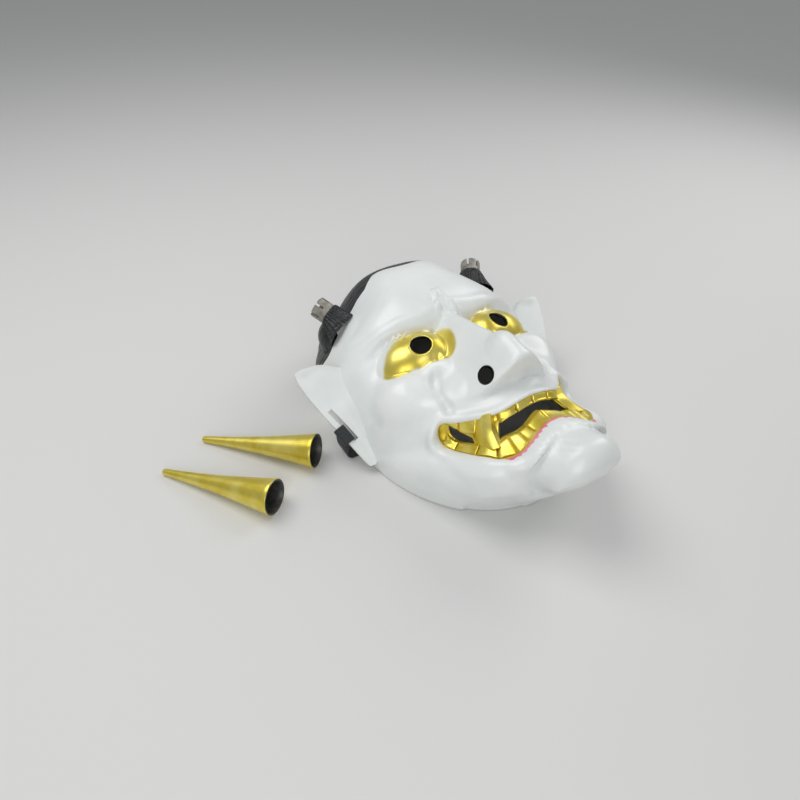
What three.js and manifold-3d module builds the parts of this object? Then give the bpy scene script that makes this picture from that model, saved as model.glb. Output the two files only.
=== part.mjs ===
// Hannya mask of thin white plastic, lying on its back rim with its two golden horns
// taken off and lying beside its left cheek. Millimetres, +Z is up out of the face,
// +Y points to the hair and +X to the right of whoever looks at the face.
import * as THREE from "three";
import { mergeVertices } from "three/addons/utils/BufferGeometryUtils.js";
import Module from "manifold-3d";

const wasm = await Module();
wasm.setup();

// Shell
const faceLength = 261; // from the tip of the chin to the hair
const wall = 2.2;
const netSteps = 34; // facets from one side of the face to the other
const netPinch = 0.85; // below 1 the facets are smaller in the middle of the face

// Mouth
const pocketDepth = 7; // from the lips down to the gums
const toothDepth = 2.6; // from the lips down to the faces of the teeth
const fangHeight = 0.6; // how far the fangs stand out over the lips
const toothGroove = 0.7;

// Holes
const pupilDiameter = 13.4;
const nostrilDiameter = 12.2;

// Ears and strap
const earThickness = 2.6;
const slotLength = 28;
const slotWidth = 3.9;
const strapWidth = 13.2;
const strapThickness = 1;
const strapClearance = 0.35; // between the strap and what it runs past
const strapEndGap = 1.2; // from the strap to the lower end of its slot
const rimPassage = 0.8; // on each side of the strap where it runs under the rim

// Horns and the stubs that they are pushed on
const hornLength = 89.3;
const hornMouthDiameter = 25;
const hornTipDiameter = 4.4;
const hornWall = 1.4;
const hornFlare = 1.1; // how far the side of a horn bows in
const boreDepth = 60;
const stubLength = 11;
const stubClearance = 1.2; // between a stub and the bore of its horn
const stubTabs = 6;
const tabGap = 2;
const tabDepth = 2;
const seatGap = 0.3; // from a stub to the mound that it stands on
const sides = 24; // of a round piece
const holeSides = 20;

// The free forms below are written for a face of 261 mm and follow faceLength.
const share = faceLength / 261;
const scaled = (...values) => values.map((value) => value * share);
const radians = THREE.MathUtils.degToRad;

// Form of the face: the distance from a pivot behind the eyes to the skin, for each direction
const pivot = scaled(0, 5, 0);
const halfWidth = 82 * share;
// The middle line of the face, from the throat rim over chin, mouth, nose and brow to the hair rim
const lineAngles = [0, 15, 29, 38, 47, 62, 78, 94, 110, 124, 137, 155, 180].map(radians);
const lineRadii = scaled(
  99.2, 115.1, 122.9, 97.6, 89.5, 86.6, 76.6, 72.1, 100.2, 119.4, 131.8, 130.1, 112.9,
);
// How square the cross section is at the throat, chin, mouth, nose, forehead and hair
const sectionAngles = [0, 29, 50, 80, 120, 180].map(radians);
const sectionPowers = [2, 2, 2.3, 2.6, 2.4, 2.8];
// Broad masses on the right half: x, y, z, reach and height
const masses = [
  [0, -74, 62, 56, 21.4], // muzzle
  [0, -116, 62, 36, 21], // chin
  [0, 70, 97, 45, -0.9], // forehead
  [45, 75, 75, 36, -7.6], // side of the forehead
  [72, 42, 50, 32, 4.9], // temple
  [80, 70, 25, 32, 12], // side of the hair
  [60, -3, 56, 28, 8.5], // cheekbone
  [38, -22, 62, 22, -8.9], // hollow beside the nose
  [28, -6, 72, 18, 3.5], // under the eye
  [62, -44, 38, 30, -2.4], // jowl
  [52, -66, 46, 24, -5.6], // corner of the mouth
  [48, -86, 40, 30, 6.2], // jaw
  [25, -101, 66, 24, 0.4], // under the lip
  [26, -126, 62, 28, 8], // side of the chin
  [0, -116, 28, 36, 5], // underside of the chin
  [0, 108, 15, 40, -5.3], // back of the hair
  [55, 100, 20, 36, 12], // corner of the hair
];
const browEdge = [
  scaled(0, 8, 20, 36, 46, 54, 62, 72),
  scaled(28, 25, 21.5, 25.5, 31.4, 34, 35.5, 34),
];
const eyeball = [[38, 8.5, 61], [27, 14, 18.5], [0, 14, 0]]; // middle, radii and turns
const innerBulge = [[22.5, 4, 62], [14.5, 17, 18], [0, 0, 0]];
// Flat sides, each as a direction square to it and a point on it
const noseFlanks = [
  [[0.636, 0.116, 0.763], [0, 10, 88]],
  [[0.42, -0.88, -0.22], [20, -54, 82]],
  [[0, -0.95, -0.3], [0, -54, 90]],
  [[0.8, 0.5, 0.33], [24, 12, 72]],
  [[0, 0.8, 0.6], [0, 30, 84]],
];
const noseRidge = [
  [[0.83, 0.18, 0.53], [0, 10, 92]],
  [[0, 0.3, 0.95], [0, 10, 89.5]],
  [[0, -0.95, -0.2], [0, -56, 95]],
  [[0, -0.5, 0.87], [0, -50, 106]],
  [[0, 0.8, 0.6], [0, 30, 84]],
];
const noseWing = [[[0.9, -0.22, 0.37], [40, -31, 61]]];
const chinUnderside = [[[0, -0.872, -0.49], [0, -135, 72]]];
const mouthOutline = [
  [0, -70.4], [15, -70.5], [25, -68.5], [34, -61.6], [45, -50.6], [52, -43.5], [55, -50],
  [53, -63], [46, -76], [39, -88], [34, -94], [27, -97], [18, -95], [8, -91.5], [0, -90],
].map((point) => scaled(...point));

const clamp = (value) => Math.min(1, Math.max(0, value));
const ramp = (value) => clamp(value) ** 2 * (3 - 2 * clamp(value));

// A smooth curve through a table of values
function curve(where, xs, ys) {
  let i = 0;
  while (i < xs.length - 2 && where > xs[i + 1]) i += 1;
  const slope = (k) => (ys[k + 1] - ys[k]) / (xs[k + 1] - xs[k]);
  const tangent = (k) => {
    if (k === 0 || k === xs.length - 1) return 0;
    const before = xs[k] - xs[k - 1];
    const after = xs[k + 1] - xs[k];
    return (slope(k) * before + slope(k - 1) * after) / (before + after);
  };
  const step = xs[i + 1] - xs[i];
  const u = clamp((where - xs[i]) / step);
  const v = 1 - u;
  return (
    (1 + 2 * u) * v * v * ys[i] + u * v * v * step * tangent(i) +
    u * u * (3 - 2 * u) * ys[i + 1] - u * u * v * step * tangent(i + 1)
  );
}

// A rounded ridge along a path, or a groove where its height is negative
function swell(point, path, reaches, heights) {
  let best = Infinity;
  let along = 0;
  for (let k = 0; k < Math.max(1, path.length - 1); k += 1) {
    const a = path[k];
    const b = path[Math.min(k + 1, path.length - 1)];
    const leg = [b[0] - a[0], b[1] - a[1], b[2] - a[2]];
    const square = leg[0] ** 2 + leg[1] ** 2 + leg[2] ** 2;
    const off = [point[0] - a[0], point[1] - a[1], point[2] - a[2]];
    const t = square ? clamp((off[0] * leg[0] + off[1] * leg[1] + off[2] * leg[2]) / square) : 0;
    const distance = Math.hypot(...off.map((value, axis) => value - t * leg[axis]));
    if (distance < best) {
      best = distance;
      along = k + t;
    }
  }
  const pick = (values) => {
    const k = Math.min(Math.floor(along), values.length - 2);
    return values.length === 1 ? values[0] : values[k] + (values[k + 1] - values[k]) * (along - k);
  };
  const u = Math.min(best / (pick(reaches) * share), 1);
  return pick(heights) * share * (1 - u * u) ** 2;
}

// The larger of two values with a soft step between them
function blend(a, b, soft) {
  const h = clamp(0.5 + (0.5 * (a - b)) / (soft * share));
  return b + (a - b) * h + soft * share * h * (1 - h);
}

// Distance from the pivot to the far side of an egg shape, low where it is missed
function egg(direction, middle, radii, turns = [0, 0, 0]) {
  const [rx, ry, rz] = turns.map(radians);
  const local = (vector) => {
    let [x, y, z] = vector;
    [x, y] = [x * Math.cos(rz) + y * Math.sin(rz), y * Math.cos(rz) - x * Math.sin(rz)];
    [y, z] = [y * Math.cos(rx) + z * Math.sin(rx), z * Math.cos(rx) - y * Math.sin(rx)];
    [x, z] = [x * Math.cos(ry) - z * Math.sin(ry), x * Math.sin(ry) + z * Math.cos(ry)];
    return [x / radii[0], y / radii[1], z / radii[2]].map((value) => value / share);
  };
  const d = local(direction);
  const o = local(pivot.map((value, axis) => value - middle[axis] * share));
  const dot = (p, q) => p[0] * q[0] + p[1] * q[1] + p[2] * q[2];
  const a = dot(d, d);
  const b = dot(d, o);
  const inside = b * b - a * (dot(o, o) - 1);
  return (-b + Math.sqrt(Math.max(inside, 0)) - 3 * Math.sqrt(Math.max(-inside, 0))) / a;
}

// Distance from the pivot to the outside of a body with flat sides and soft edges
function roof(direction, flats, soft) {
  const d = new THREE.Vector3(Math.hypot(direction[0], 0.04), direction[1], direction[2]);
  return flats.reduce((least, [square, point]) => {
    const out = new THREE.Vector3(...square).normalize();
    const facing = d.dot(out);
    const from = new THREE.Vector3(...scaled(...point)).sub(new THREE.Vector3(...pivot));
    const farthest = 400 * share;
    const reach = facing > 1e-3 ? Math.min(out.dot(from) / facing, farthest) : farthest;
    return least === null ? reach : -blend(-least, -reach, soft);
  }, null);
}

// Distance in plan to the outline of the mouth, negative inside it
function mouthDistance(x, y) {
  let best = Infinity;
  let inside = false;
  mouthOutline.forEach(([x0, y0], i) => {
    const [x1, y1] = mouthOutline[(i + 1) % mouthOutline.length];
    if (i < mouthOutline.length - 1) {
      const [ex, ey] = [x1 - x0, y1 - y0];
      const t = clamp(((x - x0) * ex + (y - y0) * ey) / (ex * ex + ey * ey));
      best = Math.min(best, Math.hypot(x - x0 - t * ex, y - y0 - t * ey));
    }
    if (y0 > y !== y1 > y && x < ((x1 - x0) * (y - y0)) / (y1 - y0) + x0) inside = !inside;
  });
  return inside ? -best : best;
}

const onRay = (direction, radius) => direction.map((value, axis) => pivot[axis] + value * radius);

function skinRadius(given) {
  const d = [Math.abs(given[0]), given[1], given[2]];
  const angle = Math.max(0, Math.atan2(d[2], -d[1]));
  const power = curve(angle, sectionAngles, sectionPowers);
  const profile = curve(angle, lineAngles, lineRadii);
  const across = (d[0] / halfWidth) ** power + (Math.hypot(d[1], d[2]) / profile) ** power;
  let r = across ** (-1 / power);
  // The muzzle and the chin first, and the smaller masses on top of them
  const broad = masses.slice(0, 2);
  for (const [x, y, z, reach, height] of broad) {
    r += swell(onRay(d, r), [scaled(x, y, z)], [reach], [height]);
  }
  const base = onRay(d, r);
  for (const [x, y, z, reach, height] of masses.slice(broad.length)) {
    r += swell(base, [scaled(x, y, z)], [reach], [height]);
  }
  // Hair at the side of the head and under the horn
  r = blend(r, egg(d, [50, 62, 46], [24, 26, 26]), 8);
  r = blend(r, egg(d, [62, 80, 54], [16, 16, 16]), 8);
  const skin = onRay(d, r);
  const [x, y, z] = skin.map((value) => value / share);
  // Brow edge, and the pressed band under it
  const brow = [[9, 31, 88], [20, 28, 87], [36, 32, 83], [48, 38, 74], [60, 41, 60]];
  const under = (curve(skin[0], ...browEdge) - skin[1]) / share;
  r += swell(skin, brow.map((point) => scaled(...point)), [12], [2.5]);
  r -= 6 * share * ramp(under / 3.5) * (1 - ramp((under - 8) / 22))
    * ramp((x - 5) / 8) * (1 - ramp((x - 60) / 14));
  // Eyeball, an egg that lies in the socket
  r = blend(r, blend(egg(d, ...eyeball), egg(d, ...innerBulge), 4), 0.8);
  // Nose, a roof of two flat flanks with a round tip, set in a crease at the cheek
  const crease = [[27, -5, 71], [37, -16, 64], [41, -28, 62], [42, -40, 62]];
  r += swell(skin, crease.map((point) => scaled(...point)), [8, 9, 10, 8], [-4, -6, -8, -5]);
  const flank = -blend(-roof(d, noseFlanks, 6), -roof(d, noseWing, 1), 5);
  const ridge = blend(roof(d, noseRidge, 9), egg(d, [0, -38, 82], [14.5, 17, 24.5]), 7);
  r = blend(r, blend(ridge, flank, 8), 1.6);
  // Thin ridges that run up from the bridge to a point between the brows
  const flame = [[0, 40, 96], [3.2, 33, 94], [5.5, 25, 92], [9, 16, 88]];
  r += swell(onRay(d, r), flame.map((point) => scaled(...point)), [2.6, 3, 3.4, 4], [4.5, 4.5, 4, 1]);
  // Fold from the inner corner of the eye past the wing to the mouth
  const fold = [[30, -2, 66], [44, -14, 58], [50, -32, 52], [56, -44, 46]];
  r += swell(skin, fold.map((point) => scaled(...point)), [10], [2]);
  // Lips: a rolled edge above, and below a wide band with a groove and a soft fold under it
  const gap = mouthDistance(skin[0], skin[1]) / share;
  const lower = ramp((-y - 60) / 16);
  const roll = 3 * (1 - ramp(Math.abs(gap - 3.2) / 5));
  const band = 3 * ramp(gap / 2 + 1) * (1 - ramp((gap - 6.5) / 4.5))
    - Math.exp(-(((gap - 12.5) / 3) ** 2)) + 0.8 * Math.exp(-(((gap - 20) / 4) ** 2));
  r += (roll * (1 - lower) + band * lower) * share * ramp((z - 22) / 14);
  r += swell(skin, [scaled(0, -101, 80), scaled(18, -104, 74), scaled(34, -100, 62)], [11], [5.5]);
  const notch = [[0, -109, 78], [14, -108, 74], [28, -102, 65]];
  r += swell(onRay(d, r), notch.map((point) => scaled(...point)), [13, 13, 13], [-5, -5, -3]);
  // Chin, a knob cut off flat below
  const knob = -blend(-egg(d, [0, -122, 60], [24, 15.5, 24]), -roof(d, chinUnderside, 1), 4);
  r = blend(r, knob, 5);
  return r;
}

// Directions over the half space in front of the face: a square net laid on a disc,
// with its border exactly level
function netDirections() {
  const rows = [];
  for (let i = 0; i <= netSteps; i += 1) {
    for (let j = 0; j <= netSteps; j += 1) {
      const a = (2 * i) / netSteps - 1;
      const b = (2 * j) / netSteps - 1;
      const far = Math.max(Math.abs(a), Math.abs(b));
      let turn = 0;
      if (far > 0) {
        turn = Math.abs(b) > Math.abs(a)
          ? Math.PI / 2 - ((Math.PI / 4) * a) / b
          : ((Math.PI / 4) * b) / a;
      }
      const sign = Math.abs(b) > Math.abs(a) ? Math.sign(b) : Math.sign(a);
      const fan = (Math.PI / 2) * (netPinch * far + (1 - netPinch) * far ** 3);
      const level = far > 1 - 1e-9;
      rows.push([
        sign * Math.cos(turn) * Math.sin(fan),
        sign * Math.sin(turn) * Math.sin(fan),
        level ? 0 : Math.cos(fan),
      ]);
    }
  }
  return rows;
}

// Solids
function solidOf(positions, indices) {
  const geometry = new THREE.BufferGeometry();
  geometry.setAttribute("position", new THREE.Float32BufferAttribute(positions.flat(), 3));
  geometry.setIndex(indices);
  return solidFrom(geometry);
}

function solidFrom(geometry) {
  const bare = geometry.clone();
  bare.deleteAttribute("normal");
  bare.deleteAttribute("uv");
  const merged = mergeVertices(bare, 1e-4);
  return new wasm.Manifold(
    new wasm.Mesh({
      numProp: 3,
      vertProperties: merged.attributes.position.array,
      triVerts: new Uint32Array(merged.index.array),
    }),
  );
}

function geometryOf(solid) {
  const made = solid.getMesh();
  const positions = new Float32Array(made.numVert * 3);
  for (let i = 0; i < made.numVert; i += 1) {
    const from = i * made.numProp;
    positions.set(made.vertProperties.subarray(from, from + 3), i * 3);
  }
  const geometry = new THREE.BufferGeometry();
  geometry.setAttribute("position", new THREE.BufferAttribute(positions, 3));
  geometry.setIndex(new THREE.BufferAttribute(new Uint32Array(made.triVerts), 1));
  const flat = geometry.toNonIndexed();
  flat.computeVertexNormals();
  return flat;
}

// The same piece on the other side of the face
function mirrored(geometry) {
  const copy = geometry.clone().applyMatrix4(new THREE.Matrix4().makeScale(-1, 1, 1));
  const turned = copy.index ? copy.toNonIndexed() : copy;
  const values = turned.attributes.position.array;
  for (let i = 0; i < values.length; i += 9) {
    const second = values.slice(i + 3, i + 6);
    values.set(values.slice(i + 6, i + 9), i + 3);
    values.set(second, i + 6);
  }
  return turned;
}

// A body under the net of radii, closed by the level plane of the rim
function domeSolid(directions, radii) {
  const positions = directions.map((direction, i) => onRay(direction, radii[i]));
  const count = netSteps + 1;
  const middle = positions.length;
  positions.push([...pivot]);
  const indices = [];
  for (let i = 0; i < netSteps; i += 1) {
    for (let j = 0; j < netSteps; j += 1) {
      const a = i * count + j;
      const [b, c, e] = [a + count, a + count + 1, a + 1];
      // The cut across each square runs the same way on both sides of the face
      if (i < netSteps / 2 === j < netSteps / 2) indices.push(a, b, c, a, c, e);
      else indices.push(a, b, e, b, c, e);
    }
  }
  const border = [];
  for (let k = 0; k < netSteps; k += 1) border.push(k * count);
  for (let k = 0; k < netSteps; k += 1) border.push(netSteps * count + k);
  for (let k = netSteps; k > 0; k -= 1) border.push(k * count + netSteps);
  for (let k = netSteps; k > 0; k -= 1) border.push(k);
  border.forEach((vertex, k) => indices.push(middle, border[(k + 1) % border.length], vertex));
  return solidOf(positions, indices);
}

// The point of the skin over a place in plan
function skinPoint(x, y, depth) {
  let low = 0;
  let high = 150 * share;
  let d = [0, 0, 1];
  for (let step = 0; step < 40; step += 1) {
    const z = (low + high) / 2;
    const off = [x - pivot[0], y - pivot[1], z - pivot[2]];
    const length = Math.hypot(...off);
    d = off.map((value) => value / length);
    if (length > skinRadius(d)) high = z;
    else low = z;
  }
  return onRay(d, skinRadius(d) - depth);
}

// A block that stands on the skin over an outline in plan, from one depth up to another,
// with its top drawn in by a bevel
function skinBlock(outline, bottomDepth, topDepth, bevel = 0, bevelHeight = 0) {
  const flat = outline.map(([x, y]) => new THREE.Vector2(x, y));
  const points = THREE.ShapeUtils.isClockWise(flat) ? flat.reverse() : flat;
  const middle = points
    .reduce((sum, point) => sum.add(point), new THREE.Vector2())
    .divideScalar(points.length);
  const inner = points.map((point) => {
    const toMiddle = middle.clone().sub(point);
    return point.clone().add(toMiddle.clone().setLength(Math.min(bevel, toMiddle.length() / 2)));
  });
  const ring = (list, depth) => list.map((point) => skinPoint(point.x, point.y, depth));
  const rings = [ring(points, bottomDepth), ring(points, topDepth + bevelHeight)];
  if (bevelHeight > 0) rings.push(ring(inner, topDepth));
  const n = points.length;
  const indices = [];
  rings.slice(1).forEach((_, level) => {
    for (let i = 0; i < n; i += 1) {
      const [a, b] = [level * n + i, level * n + ((i + 1) % n)];
      indices.push(a, b, b + n, a, b + n, a + n);
    }
  });
  const top = (rings.length - 1) * n;
  for (const [a, b, c] of THREE.ShapeUtils.triangulateShape(points, [])) {
    indices.push(a, c, b, top + a, top + b, top + c);
  }
  return solidOf(rings.flat(), indices);
}

const bothSides = (outline) => [outline, outline.map(([x, y]) => [-x, y])];

// A rod through the skin, for a round hole
function rod(middle, axis, diameter, length) {
  const geometry = new THREE.CylinderGeometry(diameter / 2, diameter / 2, length, holeSides);
  const up = new THREE.Vector3(0, 1, 0);
  const turn = new THREE.Quaternion().setFromUnitVectors(up, new THREE.Vector3(...axis).normalize());
  return geometry.applyQuaternion(turn).translate(...middle);
}

// Shell, hollow at the back
const directions = netDirections();
const outerRadii = directions.map(skinRadius);
// The wall is as thick across the skin as it is along it
const innerRadii = outerRadii.map((radius, i) => {
  const count = netSteps + 1;
  const [row, column] = [Math.floor(i / count), i % count];
  const place = (a, b) => {
    const k = Math.min(netSteps, Math.max(0, a)) * count + Math.min(netSteps, Math.max(0, b));
    return new THREE.Vector3(...onRay(directions[k], outerRadii[k]));
  };
  const normal = place(row + 1, column).sub(place(row - 1, column))
    .cross(place(row, column + 1).sub(place(row, column - 1)))
    .normalize();
  const slant = Math.abs(normal.dot(new THREE.Vector3(...directions[i])));
  return radius - wall / Math.max(slant, 0.5);
});
const innerSolid = domeSolid(directions, innerRadii);
let shell = domeSolid(directions, outerRadii);

// Truncated cones of hair under the horns
const hornAxis = new THREE.Vector3(0.5, 0.79, 0.36).normalize();
const stubFoot = new THREE.Vector3(...scaled(66.6, 86.5, 71));
const boreRadius = (depth) =>
  THREE.MathUtils.lerp(hornMouthDiameter, hornTipDiameter, depth / hornLength) / 2
  - hornWall - hornFlare * Math.sin((Math.PI * depth) / hornLength);
const stubDiameter = 2 * (boreRadius(stubLength) - stubClearance);
const moundHeight = 16 * share;
const moundFoot = 19 * share;
const onHornAxis = (geometry, from) => {
  const up = new THREE.Vector3(0, 1, 0);
  const turn = new THREE.Quaternion().setFromUnitVectors(up, hornAxis);
  const foot = stubFoot.clone().addScaledVector(hornAxis, from);
  return geometry.applyQuaternion(turn).translate(...foot.toArray());
};
const mound = onHornAxis(
  new THREE.CylinderGeometry(stubDiameter / 2 + 1.6, moundFoot, moundHeight, sides),
  -seatGap - moundHeight / 2,
);

// Ears, flat plates that stand off the sides of the head
const earTip = new THREE.Vector3(...scaled(-111.7, 50.7, 55.2));
const earDown = new THREE.Vector3(0.3101, -0.7675, -0.5611).normalize();
const earIn = new THREE.Vector3(0.948, 0.2055, 0.2429);
const earFace = earDown.clone().cross(earIn).normalize();
earIn.copy(earFace).cross(earDown).normalize();
const earFrame = new THREE.Matrix4().makeBasis(earDown, earIn, earFace).setPosition(earTip);
const earOutline = [
  [0, 0], [8, -2.7], [21.2, -3.6], [35.2, -3.4], [47.7, -2.8], [63.2, -2], [80.3, -1.5],
  [84.7, -0.6], [86, 3], [82, 10], [60, 18], [27, 32], [16, 29.5], [11.2, 24.6], [6.8, 20.7],
  [4, 16.4], [1.3, 8.5], [0.1, 3.9],
].map((point) => scaled(...point));
const slotMiddle = scaled(49.7, 3.2);
const slotTurn = radians(2.5);
const strapPlace = slotMiddle[0] + slotLength / 2 - strapEndGap - strapWidth / 2;
const ear = new THREE.Shape(earOutline.map(([u, v]) => new THREE.Vector2(u, v)));
const slot = new THREE.Path();
[[-1, -1], [-1, 1], [1, 1], [1, -1]].forEach(([a, b], i) => {
  const corner = new THREE.Vector2((a * slotLength) / 2, (b * slotWidth) / 2)
    .rotateAround(new THREE.Vector2(), slotTurn)
    .add(new THREE.Vector2(...slotMiddle));
  if (i === 0) slot.moveTo(corner.x, corner.y);
  else slot.lineTo(corner.x, corner.y);
});
slot.closePath();
ear.holes.push(slot);
const earPlate = new THREE.ExtrudeGeometry(ear, { depth: earThickness, bevelEnabled: false })
  .translate(0, 0, -earThickness)
  .applyMatrix4(earFrame);

for (const piece of [mound, mirrored(mound), earPlate, mirrored(earPlate)]) {
  shell = shell.add(solidFrom(piece));
}
// A level seat on each mound
const seatDepth = stubLength * 1.5;
const seat = onHornAxis(
  new THREE.CylinderGeometry(stubDiameter / 2 + 1.6, stubDiameter / 2 + 1.6, seatDepth, sides),
  seatDepth / 2 - seatGap,
);
for (const piece of [seat, mirrored(seat)]) shell = shell.subtract(solidFrom(piece));
shell = shell.subtract(innerSolid);

// Mouth: a pocket with a floor, rows of teeth and four fangs' worth of gaps
function widened(outline, margin) {
  const n = outline.length;
  return outline.map((point, i) => {
    const [before, after] = [outline[(i + n - 1) % n], outline[(i + 1) % n]];
    const along = new THREE.Vector2(after[0] - before[0], after[1] - before[1]).normalize();
    return [point[0] + along.y * margin, point[1] - along.x * margin];
  });
}
const leftHalf = mouthOutline.slice(1, -1).map(([x, y]) => [-x, y]);
const wholeMouth = [...mouthOutline, ...leftHalf.reverse()];
const mouthWays = THREE.ShapeUtils.isClockWise(wholeMouth.map(([x, y]) => new THREE.Vector2(x, y)));
const outwards = mouthWays ? -1 : 1;
shell = shell.add(skinBlock(widened(wholeMouth, outwards * wall), pocketDepth + wall, wall / 2));
shell = shell.subtract(skinBlock(wholeMouth, pocketDepth, -12));

// Where the teeth part, from the middle to the corner: outer x, y and inner x, y
const upperTeeth = [
  [[0, -69.4, 0, -74.8], [13.6, -69.5, 13, -75.1], [25.6, -67, 25, -73.6]],
  [[33.6, -60.4, 38, -65.4], [43.6, -49.6, 43.4, -54.4], [51, -43, 48.8, -47.8]],
];
const lowerTeeth = [
  [
    [0, -91, 0, -80.5], [14, -94.6, 14.5, -85.6], [21.3, -97, 21, -86], [29.8, -97.6, 27.5, -83.5],
    [37.6, -91.5, 34.5, -83], [46.2, -78, 41, -74.6], [52.2, -61.6, 45.4, -58.5],
    [54.8, -50, 49, -49],
  ],
];
for (const row of [...upperTeeth, ...lowerTeeth]) {
  row.slice(1).forEach((end, i) => {
    const start = row[i];
    // The gaps, cut later, trim the teeth, which run a little past their edges
    const past = ([x, y, u, v]) => [u + 0.18 * (u - x), v + 0.18 * (v - y)];
    const quad = [start.slice(0, 2), end.slice(0, 2), past(end), past(start)];
    const middle = [0, 1].map((axis) => quad.reduce((sum, point) => sum + point[axis], 0) / 4);
    const drawn = quad.map((point, k) => {
      const partner = quad[[1, 0, 3, 2][k]];
      const length = Math.hypot(partner[0] - point[0], partner[1] - point[1]);
      const step = toothGroove / 2 / (length * share);
      return point.map((value, axis) => (value + (partner[axis] - value) * step) * share);
    });
    if (middle[0] > 0) {
      for (const outline of bothSides(drawn)) {
        shell = shell.add(skinBlock(outline, pocketDepth + wall / 2, toothDepth, 1, 0.9));
      }
    }
  });
}
const fang = [[34.2, -56.6], [25.2, -66.6], [29.5, -77.5], [34.4, -86], [38.6, -83.6], [42.4, -76.4],
  [39.8, -66.5]].map((point) => scaled(...point));
const cornerGap = [[48.2, -48.6], [43.8, -54], [41.6, -59], [40.2, -66], [41.4, -72], [43.4, -67.5],
  [45.4, -57.5]].map((point) => scaled(...point));
const middleGap = [[0, -74.8], [12.5, -75.1], [19, -74.8], [24.8, -73.4], [28.2, -78.5], [32.4, -84],
  [27.5, -83.5], [21, -85.8], [15, -86], [5, -82], [0, -80.5]].map((point) => scaled(...point));
const through = [
  ...bothSides(cornerGap),
  [...middleGap, ...middleGap.slice(1, -1).map(([x, y]) => [-x, y]).reverse()],
];
for (const outline of through) shell = shell.subtract(skinBlock(outline, pocketDepth + 3 * wall, -6));
for (const outline of bothSides(fang)) {
  shell = shell.add(skinBlock(outline, pocketDepth + wall / 2, -fangHeight, 3, 2.6));
}

// Pupils, nostrils, and the passages of the strap under the rim
const pupil = rod(scaled(34.2, 6.4, 79), [0.35, -0.2, 0.91], pupilDiameter, 50 * share);
const nostril = rod(scaled(14.5, -42, 82), [0.73, -0.47, 0.5], nostrilDiameter, 26 * share);
const strapLanding = scaled(-88, 11.5);
const passageHeight = strapThickness + 2 * strapClearance;
const passage = new THREE.BoxGeometry(
  24 * share, strapWidth + 2 * rimPassage, 2 * passageHeight,
).translate(-80 * share, strapLanding[1], 0);
for (const piece of [pupil, nostril, passage]) {
  shell = shell.subtract(solidFrom(piece));
  shell = shell.subtract(solidFrom(mirrored(piece)));
}

// What the blocks trap between them under the skin is filled
const bodies = shell.decompose().sort((a, b) => b.volume() - a.volume());
shell = bodies[0];

// Strap: a flat band that comes up through each slot, turns round the edge of the ear and
// runs on the table under the rim and across the hollow
function strapGeometry() {
  const half = strapThickness / 2;
  const lay = strapClearance + half;
  const edge = -3 * share;
  const loop = [
    [slotMiddle[1] + 1.2 * share, -earThickness - lay - 4.2],
    [slotMiddle[1] + 0.2 * share, -earThickness - lay - 0.8],
    [slotMiddle[1] + 0.1 * share, -earThickness / 2],
    [slotMiddle[1] - 0.3 * share, lay * 0.7],
    [slotMiddle[1] - 1.5 * share, lay + 0.15],
    [edge + 0.6 * share, lay + 0.1],
    [edge - lay - 0.5, lay * 0.3],
    [edge - lay - 0.9, -earThickness / 2],
    [edge - lay - 0.4, -earThickness - lay * 0.6],
    [edge + 0.9 * share, -earThickness - lay - 0.5],
    [edge + 2.2 * share, -earThickness - lay - 2.2],
  ];
  const stations = loop.map(([v, w]) => ({
    place: new THREE.Vector3(strapPlace, v, w).applyMatrix4(earFrame),
    across: earDown.clone(),
  }));
  const last = stations[stations.length - 1];
  const level = new THREE.Vector3(0, -1, 0);
  const floorHeight = strapClearance + half - 0.2;
  const landing = new THREE.Vector3(...strapLanding, floorHeight);
  const arc = new THREE.CubicBezierCurve3(
    last.place,
    last.place.clone().add(new THREE.Vector3(...scaled(0.5, 1.5, -9))),
    landing.clone().add(new THREE.Vector3(...scaled(-9, 0, 0))),
    landing,
  );
  const bends = 9;
  for (let k = 1; k <= bends; k += 1) {
    const turn = ramp(k / (bends - 2));
    stations.push({
      place: arc.getPoint(k / bends),
      across: last.across.clone().lerp(level, turn).normalize(),
    });
  }
  for (const x of [-60, -30]) {
    stations.push({ place: new THREE.Vector3(x * share, landing.y, floorHeight), across: level });
  }
  const other = stations.map(({ place, across }) => ({
    place: new THREE.Vector3(-place.x, place.y, place.z),
    across: new THREE.Vector3(-across.x, across.y, across.z),
  }));
  const all = [...stations, ...other.reverse()];
  const positions = [];
  all.forEach(({ place, across }, i) => {
    const before = all[Math.max(0, i - 1)].place;
    const after = all[Math.min(all.length - 1, i + 1)].place;
    const along = after.clone().sub(before).normalize();
    const flat = across.clone().addScaledVector(along, -across.dot(along)).normalize();
    const up = along.clone().cross(flat).normalize();
    for (const [a, b] of [[-1, -1], [1, -1], [1, 1], [-1, 1]]) {
      const corner = place.clone()
        .addScaledVector(flat, (a * strapWidth) / 2)
        .addScaledVector(up, b * half);
      positions.push(corner.toArray());
    }
  });
  const indices = [];
  for (let i = 0; i < all.length - 1; i += 1) {
    for (let k = 0; k < 4; k += 1) {
      const [a, b] = [4 * i + k, 4 * i + ((k + 1) % 4)];
      indices.push(a, b, b + 4, a, b + 4, a + 4);
    }
  }
  const end = 4 * (all.length - 1);
  indices.push(0, 2, 1, 0, 3, 2, end, end + 1, end + 2, end, end + 2, end + 3);
  return solidOf(positions, indices);
}

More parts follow.
